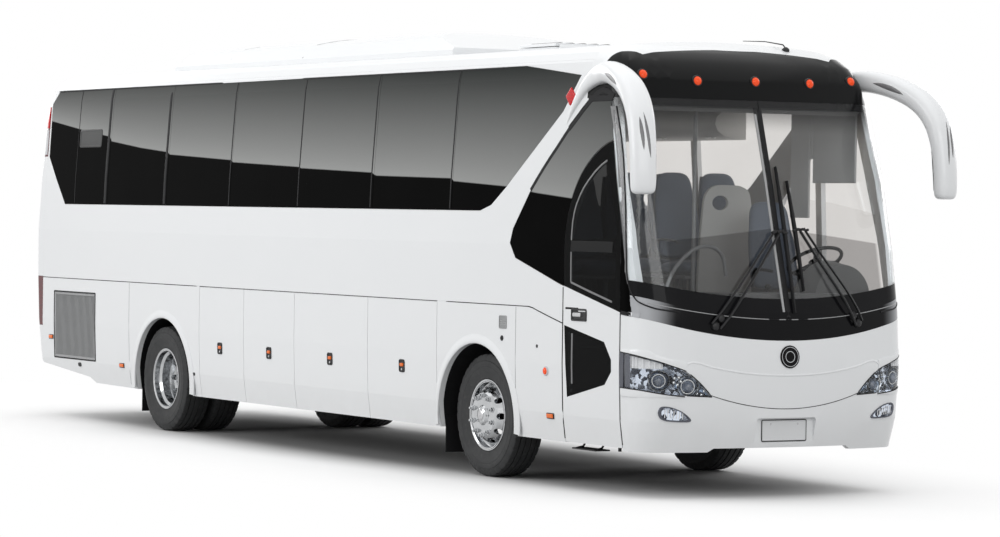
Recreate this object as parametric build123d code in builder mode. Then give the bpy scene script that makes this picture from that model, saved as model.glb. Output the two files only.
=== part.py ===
from build123d import *
import os
from math import atan2, cos, pi, sin, sqrt

# A 12 m high-deck coach. Millimetres, +X forward, +Y to the left, +Z up.
# The origin lies on the ground, midway along the vehicle (mirrors included).

# ---- overall sizes -------------------------------------------------------
BODY_WIDTH = 2550.0
NOSE_X = 5943.0
TAIL_X = -6216.0
ROOF_CROWN = 3610.0
ROOF_SHOULDER_DROP = 55.0
HALF_WIDTH = BODY_WIDTH / 2

# ---- running gear --------------------------------------------------------
FRONT_AXLE_X = 3215.0
REAR_AXLE_X = -3045.0
TYRE_DIAMETER = 1030.0
TYRE_WIDTH = 290.0
RIM_DIAMETER = 571.5
RIM_WIDTH = 228.6
FRONT_TRACK = 2080.0
REAR_OUTER_Y = 1088.0
TWIN_SPACING = 338.0
KINGPIN_Y = 850.0
STEER_ANGLE = 40.0
AXLE_Z = TYRE_DIAMETER / 2
RIM_RADIUS = RIM_DIAMETER / 2
REAR_INNER_Y = REAR_OUTER_Y - TWIN_SPACING

# ---- panels and clearances -----------------------------------------------
WALL = 55.0
DOOR_WALL = 40.0
GLASS = 8.0
SEAT_GAP = 0.3
SEAM = 0.6
DOOR_GAP = 3.0
PANE_GAP = 3.0
RUN_GAP = 0.3
FAR = HALF_WIDTH + 225

# ---- heights of the side panels --------------------------------------------
SILL_Z = 380.0
SKIRT_LINE = 1439.0
SKIRT_GAP = 13.0
WINDOW_BOTTOM = 2220.0
ROOF_LINE = 3440.0
CAP_BOTTOM = 3130.0
FLOOR_Z = 1370.0
FLOOR_THICK = 40.0
DECK_Z = 1130.0
BAY_FLOOR_Z = 435.0

# ---- ends of the side panels ------------------------------------------------
SIDE_REAR_X = TAIL_X + 206
FRONT_SEAM_X = 5455.0
DOOR_REAR_X = 4600.0
DOOR_FRONT_X = 5445.0
DECK_REAR_X = 4250.0

# ---- wheel arches -----------------------------------------------------------
ARCH_RADIUS = TYRE_DIAMETER / 2 + 125
ARCH_CENTRE_Z = AXLE_Z - 40
FRONT_ARCH_X = FRONT_AXLE_X - 15
REAR_ARCH_X = REAR_AXLE_X + 35
LINER_CLEAR = 20.0
LINER_WALL = 12.0
LINER_INNER_Y = 520.0

# ---- luggage doors ----------------------------------------------------------
LUGGAGE_SEAMS = (-2165.0, -1195.0, -145.0, 1282.0, 2530.0)
HINGE_DEPTH = 10.0
HINGE_RADIUS = 5.0

SIDES = (("right", -1), ("left", 1))

# Plan sections of the body, from the sill to the roof.
# height, nose x, tail x, half width, radius of the bowed front, radius of its corners
BODY_SECTIONS = (
    (330, NOSE_X - 93, TAIL_X + 176, HALF_WIDTH - 50, 5000, 250),
    (600, NOSE_X - 28, TAIL_X + 111, HALF_WIDTH - 13, 5000, 270),
    (1000, NOSE_X, TAIL_X + 44, HALF_WIDTH, 5000, 280),
    (1450, NOSE_X - 31, TAIL_X + 7, HALF_WIDTH, 5000, 280),
    (1950, NOSE_X - 172, TAIL_X, HALF_WIDTH, 7000, 230),
    (2500, NOSE_X - 321, TAIL_X + 28, HALF_WIDTH - 23, 8000, 190),
    (3130, NOSE_X - 512, TAIL_X + 94, HALF_WIDTH - 68, 8000, 200),
    (3300, NOSE_X - 578, TAIL_X + 146, HALF_WIDTH - 82, 8000, 210),
    (3420, NOSE_X - 668, TAIL_X + 191, HALF_WIDTH - 105, 7000, 230),
    (3500, NOSE_X - 773, TAIL_X + 256, HALF_WIDTH - 150, 6000, 250),
    (3560, NOSE_X - 893, TAIL_X + 336, HALF_WIDTH - 230, 5000, 280),
    (3640, NOSE_X - 1143, TAIL_X + 486, HALF_WIDTH - 395, 4000, 320),
)
TAIL_CORNER = 80.0

os.makedirs("parts", exist_ok=True)


def save(part, name):
    """Label one finished piece and write it as its own file."""
    part.label = name
    export_step(part, f"parts/{name}.step")


def plan_outline(nose, tail, half, bow, corner, tail_corner):
    """Closed plan section: bowed front, round corners, straight sides and tail."""
    cy = half - corner
    cx = nose - bow + sqrt((bow - corner) ** 2 - cy**2)
    grow = bow / (bow - corner)
    tx = nose - bow + (cx - nose + bow) * grow
    ty = cy * grow
    turn = (atan2(cy, cx - nose + bow) + pi / 2) / 2
    mx = cx + corner * cos(turn)
    my = cy + corner * sin(turn)
    step = tail_corner * (1 - sqrt(0.5))
    ThreePointArc((tx, -ty), (nose, 0), (tx, ty))
    ThreePointArc((tx, ty), (mx, my), (cx, half))
    Line((cx, half), (tail + tail_corner, half))
    ThreePointArc((tail + tail_corner, half), (tail + step, half - step), (tail, half - tail_corner))
    Line((tail, half - tail_corner), (tail, tail_corner - half))
    ThreePointArc((tail, tail_corner - half), (tail + step, step - half), (tail + tail_corner, -half))
    Line((tail + tail_corner, -half), (cx, -half))
    ThreePointArc((cx, -half), (mx, -my), (tx, -ty))


def body_form(inset):
    """The whole body's outer form, moved inward by inset."""
    reach = HALF_WIDTH - ROOF_SHOULDER_DROP * 5
    with BuildPart() as form:
        for height, nose, tail, half, bow, corner in BODY_SECTIONS:
            with BuildSketch(Plane.XY.offset(height)):
                with BuildLine():
                    plan_outline(
                        nose - inset,
                        tail + inset,
                        half - inset,
                        bow - inset,
                        corner - inset,
                        TAIL_CORNER - inset,
                    )
                make_face()
        loft(ruled=True)
        with BuildSketch(Plane.YZ.offset(TAIL_X - FAR)):
            with BuildLine():
                shoulder = ROOF_CROWN - ROOF_SHOULDER_DROP - inset
                ThreePointArc((-reach, shoulder), (0, ROOF_CROWN - inset), (reach, shoulder))
                Polyline((reach, shoulder), (FAR, shoulder - FAR * 0.12), (FAR, 0), (-FAR, 0))
                Polyline((-FAR, 0), (-FAR, shoulder - FAR * 0.12), (-reach, shoulder))
            make_face()
        extrude(amount=NOSE_X - TAIL_X + 2 * FAR, mode=Mode.INTERSECT)
    return form.part


SKIN = body_form(-SEAT_GAP)
OUTER = body_form(0)
GLASS_BACK = body_form(GLASS)
GLASS_SEAT = body_form(GLASS + SEAT_GAP)
DOOR_BACK = body_form(DOOR_WALL)
WALL_BACK = body_form(WALL)
LINING = body_form(WALL + SEAT_GAP)


def layer(outside, inside):
    """A shell between two body forms."""
    with BuildPart() as shell:
        add(outside)
        add(inside, mode=Mode.SUBTRACT)
    return shell.part


WALL_SHELL = layer(OUTER, WALL_BACK)
FRAME_SHELL = layer(GLASS_SEAT, WALL_BACK)
DOOR_SHELL = layer(OUTER, DOOR_BACK)
GLASS_SHELL = layer(OUTER, GLASS_BACK)
SEAT_SHELL = layer(OUTER, GLASS_SEAT)


def side_face(*points):
    """Closed face in the side view, from x and z pairs."""
    with BuildSketch() as face:
        with BuildLine():
            Polyline(*points, close=True)
        make_face()
    return face.sketch


def rect_points(x0, x1, z0, z1):
    return ((x0, z0), (x1, z0), (x1, z1), (x0, z1))


# ---- outlines in the side view --------------------------------------------
# Lower edge of the skirts and of the tail, from the tail forward.
SKIRT_BOTTOM = ((SIDE_REAR_X + SEAM, 547.0), (TAIL_X + 1391, 445.0), (TAIL_X + 1541, 391.0), (-3515.0, SILL_Z))
# The dark window band along each side.
BAND = (
    (TAIL_X + 734, WINDOW_BOTTOM),
    (TAIL_X + 246, 2715.0),
    (TAIL_X + 226, 3270.0),
    (TAIL_X + 356, 3398.0),
    (3795.0, 3415.0),
    (4690.0, 3318.0),
    (4455.0, 3030.0),
    (3635.0, 2420.0),
    (3400.0, 2270.0),
    (3215.0, WINDOW_BOTTOM),
)
PILLARS = (-4405.0, -2980.0, -1551.0, -128.0, 1315.0, 2730.0)
PILLAR_HALF = 45.0
BAND_FRAME = 60.0
# The dark glass area around the door and the driver's window.
QUARTER = (
    (4850.0, 3120.0),
    (4538.0, 2860.0),
    (4020.0, 2385.0),
    (3775.0, 2080.0),
    (3735.0, 1960.0),
    (3828.0, 1839.0),
    (4529.0, 1644.0),
    (5348.0, 1450.0),
    (5600.0, 1450.0),
    (5560.0, 1624.0),
    (5450.0, 2089.0),
    (5332.0, 2479.0),
    (5160.0, 3120.0),
)
# Front pillar: the line where side glass and windscreen meet.
PILLAR_LINE = ((5645.0, 1250.0), (5560.0, 1624.0), (5450.0, 2089.0), (5332.0, 2479.0), (5157.0, CAP_BOTTOM))
PILLAR_STEP = 75.0

# ---- outlines in the front view ---------------------------------------------
MASK_TOP = 1235.0
SCREEN_BOTTOM = 1400.0
FRONT_LINE_RISE = 185.0
BUMPER_TOP = 700.0
LAMP_TIP_Y = 690.0
LAMP_TIP_Z = 800.0
LAMP_LOW_Z = 830.0
LAMP_TOP_Z = 1130.0
LAMP_REAR_X = 5500.0
LAMP_SHOULDER_Y = 1180.0
CAP_RADIUS = 2630.0
CAP_REAR_X = 5099.0


def front_face(line_z, edge_z):
    """Face in the front view between a bowed line, lowest in the middle, and a level edge."""
    side_z = line_z + FRONT_LINE_RISE
    with BuildSketch() as face:
        with BuildLine():
            ThreePointArc((-HALF_WIDTH, side_z), (0, line_z), (HALF_WIDTH, side_z))
            Polyline((HALF_WIDTH, side_z), (FAR, side_z), (FAR, edge_z), (-FAR, edge_z))
            Polyline((-FAR, edge_z), (-FAR, side_z), (-HALF_WIDTH, side_z))
        make_face()
    return face.sketch


def ahead_of_pillar(gap):
    """Side outline of all that lies ahead of the front pillar line."""
    first = PILLAR_LINE[0]
    last = PILLAR_LINE[-1]
    return (
        (first[0] + gap, 0),
        *((x + gap, z) for x, z in PILLAR_LINE),
        (last[0] + gap, last[1] + FAR),
        (NOSE_X + FAR, last[1] + FAR),
        (NOSE_X + FAR, 0),
    )


def cap_zone(gap):
    """Everything ahead of the bowed rear edge of the front cap."""
    with BuildPart() as zone:
        with BuildSketch(Plane.XY.offset(CAP_BOTTOM + gap)):
            with Locations((CAP_REAR_X + gap - CAP_RADIUS, 0)):
                Circle(CAP_RADIUS)
            with Locations((CAP_REAR_X - CAP_RADIUS - FAR * 2, 0)):
                Rectangle(FAR * 4, FAR * 4)
        extrude(amount=FAR)
    with BuildPart() as ahead:
        with BuildSketch(Plane.XY.offset(CAP_BOTTOM + gap)):
            with Locations((CAP_REAR_X, 0)):
                Rectangle(FAR * 2, FAR * 2)
        extrude(amount=FAR)
        add(zone.part, mode=Mode.SUBTRACT)
    return ahead.part


def lamp_face(side, grow):
    """Headlamp outline in the front view: pointed inner tip, curved top."""
    tip = (side * (LAMP_TIP_Y - grow), LAMP_TIP_Z)
    shoulder = (side * LAMP_SHOULDER_Y, LAMP_TOP_Z + grow)
    outer = side * (HALF_WIDTH + 60)
    with BuildSketch() as face:
        with BuildLine():
            ThreePointArc(tip, (side * 930, 1010 + grow), shoulder)
            Polyline(shoulder, (outer, LAMP_TOP_Z + grow), (outer, LAMP_LOW_Z - grow))
            Polyline((outer, LAMP_LOW_Z - grow), (side * 900, LAMP_LOW_Z - 20 - grow), tip)
        make_face()
    return face.sketch


FOG_Y = 999.0
FOG_Z = 663.0
FOG_WIDTH = 250.0
FOG_HEIGHT = 105.0


# ---- the door opening in the right side ------------------------------------
DOOR_BOTTOM = 385.0
DOOR_TOP = 2785.0
DOOR_ARC_START = 2000.0
DOOR_TIP_X = 5245.0
DOOR_FRONT_BEND = 2105.0
DOOR_GLASS_LOW = 1446.0


def door_face(gap):
    """Side outline of the entrance door, grown by gap on every side."""
    low = DOOR_BOTTOM - gap
    rear = DOOR_REAR_X - gap
    front = DOOR_FRONT_X + gap
    tip = (DOOR_TIP_X + gap, DOOR_TOP + gap * 2)
    with BuildSketch() as face:
        with BuildLine():
            Polyline((rear, DOOR_ARC_START), (rear, low), (front, low), (front, DOOR_FRONT_BEND), tip)
            ThreePointArc(tip, (4805.0 - gap, 2520.0 + gap), (rear, DOOR_ARC_START))
        make_face()
    return face.sketch


# ---- shared cuts and recesses ----------------------------------------------
# Driver's side window and the panes behind the door, cut inside the dark quarter.
QUARTER_POST_X = 4590.0
QUARTER_POST_HALF = 40.0

with BuildPart() as window_cut:
    with BuildSketch(Plane.XZ):
        add(side_face(*BAND))
        offset(amount=-BAND_FRAME, kind=Kind.INTERSECTION)
        for x in PILLARS:
            with Locations((x, WINDOW_BOTTOM)):
                Rectangle(2 * PILLAR_HALF, 2 * FAR, mode=Mode.SUBTRACT)
    extrude(amount=FAR, both=True)
    with BuildSketch(Plane.XZ) as quarter_opening:
        add(side_face(*QUARTER))
        offset(amount=-BAND_FRAME, kind=Kind.INTERSECTION)
        with Locations((QUARTER_POST_X, WINDOW_BOTTOM)):
            Rectangle(2 * QUARTER_POST_HALF, 2 * FAR, mode=Mode.SUBTRACT)
    extrude(amount=-FAR)
    with BuildSketch(Plane.XZ):
        add(quarter_opening.sketch_local)
        with Locations((QUARTER_POST_X + FAR, WINDOW_BOTTOM)):
            Rectangle(2 * FAR, 2 * FAR, mode=Mode.SUBTRACT)
    extrude(amount=FAR)

with BuildPart() as glass_recess:
    with BuildSketch(Plane.XZ):
        add(side_face(*BAND))
        add(side_face(*QUARTER))
        add(side_face(*ahead_of_pillar(0)))
    extrude(amount=FAR, both=True)
    add(SEAT_SHELL, mode=Mode.INTERSECT)

with BuildPart() as door_zone:
    with BuildSketch(Plane.XZ):
        add(door_face(DOOR_GAP * 2))
    extrude(amount=FAR)

CAP_AHEAD = cap_zone(0)
CAP_AHEAD_GROWN = cap_zone(-SEAM)

# ---- side walls ----------------------------------------------------------
HINGE_Y = HALF_WIDTH - HINGE_DEPTH
HINGE_SPAN = LUGGAGE_SEAMS[-1] - LUGGAGE_SEAMS[0]
SKIRT_TOP = SKIRT_LINE + SKIRT_GAP
SKIRT_DROP_X = 4055.0
SKIRT_DROP_Z = 1343.0
SIDE_FRONT_Z = 1421.0
PILLAR_SLOPE = (PILLAR_LINE[1][0] - PILLAR_LINE[0][0]) / (PILLAR_LINE[1][1] - PILLAR_LINE[0][1])
PILLAR_FOOT_X = PILLAR_LINE[0][0] + PILLAR_SLOPE * (SIDE_FRONT_Z + SEAM - PILLAR_LINE[0][1])
REAR_MIDDLE = HALF_WIDTH - 275
REAR_STRIP = 150.0


def hinge_section(depth_sign):
    """Round bead with a web that runs up and inward from it, about the hinge line."""
    with BuildSketch() as bead:
        Circle(HINGE_RADIUS)
        with BuildLine():
            Polyline(
                (-depth_sign * 6.5, 1.5),
                (-depth_sign * 1.5, 4.5),
                (-depth_sign * 2.0, SKIRT_GAP + 2),
                (-depth_sign * 7.0, SKIRT_GAP + 2),
                close=True,
            )
        make_face()
    return bead.sketch


with BuildPart() as side_walls:
    with BuildSketch(Plane.XZ):
        add(
            side_face(
                (SIDE_REAR_X + SEAM, SKIRT_TOP),
                (SKIRT_DROP_X, SKIRT_TOP),
                (DOOR_REAR_X, SKIRT_DROP_Z),
                (DOOR_REAR_X, DOOR_GLASS_LOW),
                (FRONT_SEAM_X + SEAM, DOOR_GLASS_LOW),
                (FRONT_SEAM_X + SEAM, SIDE_FRONT_Z + SEAM),
                (PILLAR_FOOT_X + PILLAR_STEP, SIDE_FRONT_Z + SEAM),
                *((x + PILLAR_STEP, z) for x, z in PILLAR_LINE[1:]),
                (5157.0, ROOF_LINE),
                (SIDE_REAR_X + SEAM, ROOF_LINE),
            )
        )
    extrude(amount=FAR, both=True)
    add(WALL_SHELL, mode=Mode.INTERSECT)
    with Locations((0, 0, ROOF_LINE)):
        Box(10 * FAR, 2 * REAR_MIDDLE, 4 * FAR, mode=Mode.SUBTRACT)
    add(window_cut.part, mode=Mode.SUBTRACT)
    add(door_zone.part, mode=Mode.SUBTRACT)
    add(CAP_AHEAD_GROWN, mode=Mode.SUBTRACT)
    add(glass_recess.part, mode=Mode.SUBTRACT)
    for side_name, side in SIDES:
        with BuildSketch(Plane.YZ.offset(LUGGAGE_SEAMS[0])):
            with Locations((side * HINGE_Y, SKIRT_LINE)):
                add(hinge_section(side))
        extrude(amount=HINGE_SPAN)
save(side_walls.part, "side_walls")

with BuildPart() as side_glass:
    with BuildSketch(Plane.XZ):
        add(side_face(*BAND))
        offset(amount=-PANE_GAP, kind=Kind.INTERSECTION)
        for x in PILLARS:
            with Locations((x, WINDOW_BOTTOM)):
                Rectangle(2 * PANE_GAP, 2 * FAR, mode=Mode.SUBTRACT)
    extrude(amount=FAR, both=True)
    with BuildSketch(Plane.XZ):
        add(side_face(*QUARTER))
        offset(amount=-PANE_GAP, kind=Kind.INTERSECTION)
    extrude(amount=FAR, both=True)
    add(GLASS_SHELL, mode=Mode.INTERSECT)
    with BuildSketch(Plane.XZ):
        add(door_face(2 * DOOR_GAP))
    extrude(amount=FAR, mode=Mode.SUBTRACT)
save(side_glass.part, "side_glass")

# ---- lower sides ---------------------------------------------------------
GRILLE_X = (TAIL_X + 526, TAIL_X + 1560)
GRILLE_Z = (626.0, 1300.0)

with BuildPart() as side_skirts:
    with BuildSketch(Plane.XZ):
        add(
            side_face(
                *SKIRT_BOTTOM,
                (LUGGAGE_SEAMS[0] - DOOR_GAP, SILL_Z),
                (LUGGAGE_SEAMS[0] - DOOR_GAP, SKIRT_TOP - SEAM),
                (SIDE_REAR_X + SEAM, SKIRT_TOP - SEAM),
            )
        )
        add(
            side_face(
                (LUGGAGE_SEAMS[-1] + DOOR_GAP, SILL_Z),
                (FRONT_SEAM_X, SILL_Z),
                (FRONT_SEAM_X, DOOR_GLASS_LOW - SEAM),
                (DOOR_REAR_X + SEAM, DOOR_GLASS_LOW - SEAM),
                (DOOR_REAR_X + SEAM, SKIRT_DROP_Z - SEAM),
                (SKIRT_DROP_X, SKIRT_TOP - SEAM),
                (LUGGAGE_SEAMS[-1] + DOOR_GAP, SKIRT_TOP - SEAM),
            )
        )
        for arch_x in (FRONT_ARCH_X, REAR_ARCH_X):
            with Locations((arch_x, ARCH_CENTRE_Z)):
                Circle(ARCH_RADIUS, mode=Mode.SUBTRACT)
            with Locations((arch_x, ARCH_CENTRE_Z - ARCH_RADIUS / 2)):
                Rectangle(2 * ARCH_RADIUS, ARCH_RADIUS, mode=Mode.SUBTRACT)
        with Locations(((GRILLE_X[0] + GRILLE_X[1]) / 2, (GRILLE_Z[0] + GRILLE_Z[1]) / 2)):
            Rectangle(GRILLE_X[1] - GRILLE_X[0], GRILLE_Z[1] - GRILLE_Z[0], mode=Mode.SUBTRACT)
    extrude(amount=FAR, both=True)
    add(DOOR_SHELL, mode=Mode.INTERSECT)
    with BuildSketch(Plane.XZ):
        with Locations(((DOOR_REAR_X + FRONT_SEAM_X) / 2, SILL_Z + FAR / 2)):
            Rectangle(FRONT_SEAM_X - DOOR_REAR_X + 4 * DOOR_GAP, FAR * 2)
    extrude(amount=FAR, mode=Mode.SUBTRACT)
save(side_skirts.part, "side_skirts")

with BuildPart() as lower_door_shell:
    add(DOOR_SHELL)
    with BuildSketch(Plane.XZ):
        add(side_face(*rect_points(LUGGAGE_SEAMS[0], LUGGAGE_SEAMS[-1], SILL_Z, SKIRT_LINE)))
    extrude(amount=FAR, both=True, mode=Mode.INTERSECT)
    for side_name, side in SIDES:
        with BuildSketch(Plane.YZ.offset(LUGGAGE_SEAMS[0])):
            with Locations((side * HINGE_Y, SKIRT_LINE)):
                Circle(HINGE_RADIUS + RUN_GAP)
        extrude(amount=HINGE_SPAN, mode=Mode.SUBTRACT)

for side_name, side in SIDES:
    for number, (x0, x1) in enumerate(zip(LUGGAGE_SEAMS, LUGGAGE_SEAMS[1:]), start=1):
        with BuildPart() as luggage_door:
            add(lower_door_shell.part)
            with BuildSketch(Plane.XZ):
                add(side_face(*rect_points(x0 + DOOR_GAP, x1 - DOOR_GAP, 0, FAR)))
            extrude(amount=-side * FAR, mode=Mode.INTERSECT)
        save(luggage_door.part, f"luggage_door_{side_name}_{number}")

SLAT_PITCH = 30.0
SLAT_WIDTH = 12.0
GRILLE_FRAME = 20.0
GRILLE_DEPTH = 30.0

with BuildPart() as radiator_grilles:
    width = GRILLE_X[1] - GRILLE_X[0] - 2 * SEAM
    height = GRILLE_Z[1] - GRILLE_Z[0] - 2 * SEAM
    slat_count = int((width - 2 * GRILLE_FRAME) / SLAT_PITCH)
    for side_name, side in SIDES:
        grille_y = side * (HALF_WIDTH - GRILLE_DEPTH / 2 - 6)
        with Locations(((GRILLE_X[0] + GRILLE_X[1]) / 2, grille_y, (GRILLE_Z[0] + GRILLE_Z[1]) / 2)):
            Box(width, GRILLE_DEPTH, height)
            Box(width - 2 * GRILLE_FRAME, GRILLE_DEPTH, height - 2 * GRILLE_FRAME, mode=Mode.SUBTRACT)
            with GridLocations(SLAT_PITCH, 1, slat_count, 1):
                Box(SLAT_WIDTH, GRILLE_DEPTH - 6, height - 2 * GRILLE_FRAME)
    add(OUTER, mode=Mode.INTERSECT)
save(radiator_grilles.part, "radiator_grilles")

# ---- front ---------------------------------------------------------------
PLATE_WIDTH = 560.0
PLATE_TOP = 628.0
PLATE_LOW = 424.0
PLATE_FACE_X = NOSE_X - 75
BUMPER_NOTCH = ((680.0, SILL_Z - 16), (630.0, SILL_Z + 14))
POST_HALF = 22.0
HEADER = 60.0


def lamp_pockets(grow):
    """Blocks that the headlamps and fog lamps of both sides fill."""
    with BuildPart() as pockets:
        with BuildSketch(Plane.YZ.offset(LAMP_REAR_X - grow)):
            for side_name, side in SIDES:
                add(lamp_face(side, grow))
                with Locations((side * FOG_Y, FOG_Z)):
                    SlotOverall(FOG_WIDTH + 2 * grow, FOG_HEIGHT + 2 * grow)
        extrude(amount=FAR)
    return pockets.part


def bumper_face(gap):
    """Front view of the bumper: its top dips from the headlamps to the middle."""
    tip = (LAMP_TIP_Y, LAMP_TIP_Z - gap)
    right = (tip, (900, LAMP_LOW_Z - 20 - gap), (FAR, LAMP_LOW_Z - gap), (FAR, SILL_Z - 16), *BUMPER_NOTCH)
    with BuildSketch() as face:
        with BuildLine():
            ThreePointArc((-tip[0], tip[1]), (0, BUMPER_TOP - gap), tip)
            Polyline(*right)
            Line(right[-1], (-right[-1][0], right[-1][1]))
            Polyline(*((-y, z) for y, z in reversed(right)))
        make_face()
    return face.sketch


LAMP_CUTS = lamp_pockets(0)

with BuildPart() as front_bumper:
    with BuildSketch(Plane.YZ.offset(FRONT_SEAM_X + SEAM)):
        add(bumper_face(SEAM))
    extrude(amount=FAR)
    add(WALL_SHELL, mode=Mode.INTERSECT)
    add(LAMP_CUTS, mode=Mode.SUBTRACT)
    with BuildSketch(Plane.YZ.offset(PLATE_FACE_X)):
        with Locations((0, (PLATE_TOP + PLATE_LOW) / 2)):
            RectangleRounded(PLATE_WIDTH, PLATE_TOP - PLATE_LOW, 20)
    extrude(amount=FAR, mode=Mode.SUBTRACT)
save(front_bumper.part, "front_bumper")

with BuildPart() as front_mask:
    with BuildSketch(Plane.YZ.offset(FRONT_SEAM_X + SEAM)):
        add(front_face(MASK_TOP, BUMPER_TOP - FAR))
        add(bumper_face(0), mode=Mode.SUBTRACT)
        with Locations((0, LAMP_LOW_Z - FAR * 1.5 - 200)):
            Rectangle(4 * FAR, 3 * FAR, mode=Mode.SUBTRACT)
    extrude(amount=FAR)
    add(WALL_SHELL, mode=Mode.INTERSECT)
    add(LAMP_CUTS, mode=Mode.SUBTRACT)
save(front_mask.part, "front_mask")

with BuildPart() as front_lamps:
    add(lamp_pockets(-SEAM))
    add(WALL_SHELL, mode=Mode.INTERSECT)
save(front_lamps.part, "front_lamps")

with BuildPart() as screen_frame:
    with BuildSketch(Plane.YZ.offset(FRONT_SEAM_X + SEAM)):
        add(front_face(SCREEN_BOTTOM + 50, SILL_Z))
        add(front_face(SCREEN_BOTTOM - 5, SILL_Z), mode=Mode.SUBTRACT)
    extrude(amount=FAR)
    with BuildSketch(Plane.YZ):
        with Locations((0, (SCREEN_BOTTOM + CAP_BOTTOM - HEADER - SEAM) / 2)):
            Rectangle(2 * POST_HALF, CAP_BOTTOM - HEADER - SEAM - SCREEN_BOTTOM)
    extrude(amount=NOSE_X + FAR)
    add(FRAME_SHELL, mode=Mode.INTERSECT)

with BuildPart() as wiper_panel:
    with BuildSketch(Plane.YZ.offset(FRONT_SEAM_X + SEAM)):
        add(front_face(SCREEN_BOTTOM, SILL_Z))
        add(front_face(MASK_TOP + SEAM, SILL_Z), mode=Mode.SUBTRACT)
    extrude(amount=FAR)
    add(WALL_SHELL, mode=Mode.INTERSECT)
    add(screen_frame.part)
    with BuildSketch(Plane.XZ):
        add(side_face(*ahead_of_pillar(PILLAR_STEP + SEAM)))
        add(side_face(*rect_points(FRONT_SEAM_X, NOSE_X, SILL_Z, SIDE_FRONT_Z)))
    extrude(amount=FAR, both=True, mode=Mode.INTERSECT)
save(wiper_panel.part, "wiper_panel")

with BuildPart() as windscreen:
    with BuildSketch(Plane.YZ):
        add(front_face(SCREEN_BOTTOM + SEAM, CAP_BOTTOM - SEAM))
        with Locations((0, CAP_BOTTOM)):
            Rectangle(2 * PANE_GAP, CAP_BOTTOM * 2, mode=Mode.SUBTRACT)
    extrude(amount=NOSE_X + FAR)
    with BuildSketch(Plane.XZ):
        add(side_face(*ahead_of_pillar(PANE_GAP)))
    extrude(amount=FAR, both=True, mode=Mode.INTERSECT)
    add(GLASS_SHELL, mode=Mode.INTERSECT)
save(windscreen.part, "windscreen")

with BuildPart() as screen_header:
    with BuildSketch(Plane.XZ):
        add(side_face(*ahead_of_pillar(PILLAR_STEP + SEAM)))
        with Locations((NOSE_X, CAP_BOTTOM + SEAM - HEADER / 2)):
            Rectangle(4 * FAR, HEADER, mode=Mode.INTERSECT)
    extrude(amount=FAR, both=True)
    add(FRAME_SHELL, mode=Mode.INTERSECT)

with BuildPart() as front_cap:
    add(WALL_SHELL)
    add(CAP_AHEAD, mode=Mode.INTERSECT)
    add(screen_header.part)
save(front_cap.part, "front_cap")

# ---- roof ------------------------------------------------------------------
HATCH_X = (2265.0, 2825.0)
HATCH_HALF = 300.0
COAMING = 25.0
COAMING_TOP = ROOF_CROWN + 22
LID_THICK = 26.0
LID_LAP = 12.0
LID_HINGE_X = HATCH_X[1] + COAMING + LID_LAP
LID_HINGE_Z = COAMING_TOP + 2 * DOOR_GAP + LID_THICK / 2

with BuildPart() as coaming:
    with BuildSketch(Plane.XY.offset(ROOF_CROWN - WALL)):
        with Locations(((HATCH_X[0] + HATCH_X[1]) / 2, 0)):
            Rectangle(HATCH_X[1] - HATCH_X[0] + 2 * COAMING, 2 * HATCH_HALF + 2 * COAMING)
    extrude(amount=COAMING_TOP - ROOF_CROWN + WALL)
    with BuildSketch(Plane.XZ):
        with Locations((LID_HINGE_X, LID_HINGE_Z)):
            Circle(HINGE_RADIUS)
        add(
            side_face(
                (LID_HINGE_X + 0.8, LID_HINGE_Z - 4.5),
                (LID_HINGE_X + 4.5, LID_HINGE_Z - 1.5),
                (LID_HINGE_X + 14, LID_HINGE_Z - 16),
                (LID_HINGE_X + 14, ROOF_CROWN - 20),
                (LID_HINGE_X - LID_LAP - 5, ROOF_CROWN - 20),
                (LID_HINGE_X - LID_LAP - 5, COAMING_TOP),
                (LID_HINGE_X + 0.8, COAMING_TOP),
            )
        )
    extrude(amount=HATCH_HALF, both=True)

with BuildPart() as roof_panel:
    add(WALL_SHELL)
    with BuildSketch(Plane.XY.offset(ROOF_LINE + SEAM)):
        Rectangle(10 * FAR, 4 * FAR)
    extrude(amount=FAR, mode=Mode.INTERSECT)
    add(CAP_AHEAD_GROWN, mode=Mode.SUBTRACT)
    add(coaming.part)
    with Locations(((HATCH_X[0] + HATCH_X[1]) / 2, 0, ROOF_CROWN)):
        Box(HATCH_X[1] - HATCH_X[0], 2 * HATCH_HALF, 4 * WALL, mode=Mode.SUBTRACT)
save(roof_panel.part, "roof_panel")

with BuildPart() as roof_hatch:
    lid_rear = HATCH_X[0] - COAMING - LID_LAP
    with BuildSketch(Plane.XY.offset(LID_HINGE_Z - LID_THICK / 2)):
        with Locations(((lid_rear + LID_HINGE_X) / 2, 0)):
            Rectangle(LID_HINGE_X - lid_rear, 2 * (HATCH_HALF + COAMING + LID_LAP))
    extrude(amount=LID_THICK)
    fillet(roof_hatch.edges().filter_by(Axis.Z).group_by(Axis.X)[0], 40)
    fillet(roof_hatch.faces().sort_by(Axis.Z)[-1].edges().group_by(Axis.X)[0], 10)
    with BuildSketch(Plane.XZ):
        with Locations((LID_HINGE_X, LID_HINGE_Z)):
            Circle(HINGE_RADIUS + RUN_GAP)
        add(
            side_face(
                (LID_HINGE_X, LID_HINGE_Z - LID_THICK),
                (LID_HINGE_X, LID_HINGE_Z - HINGE_RADIUS),
                (LID_HINGE_X - 8, LID_HINGE_Z - LID_THICK / 2),
                (LID_HINGE_X - 8, LID_HINGE_Z - LID_THICK),
            )
        )
    extrude(amount=FAR, both=True, mode=Mode.SUBTRACT)
save(roof_hatch.part, "roof_hatch")

POD_X = (-3805.0, 1895.0)
POD_HALF = 800.0

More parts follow.
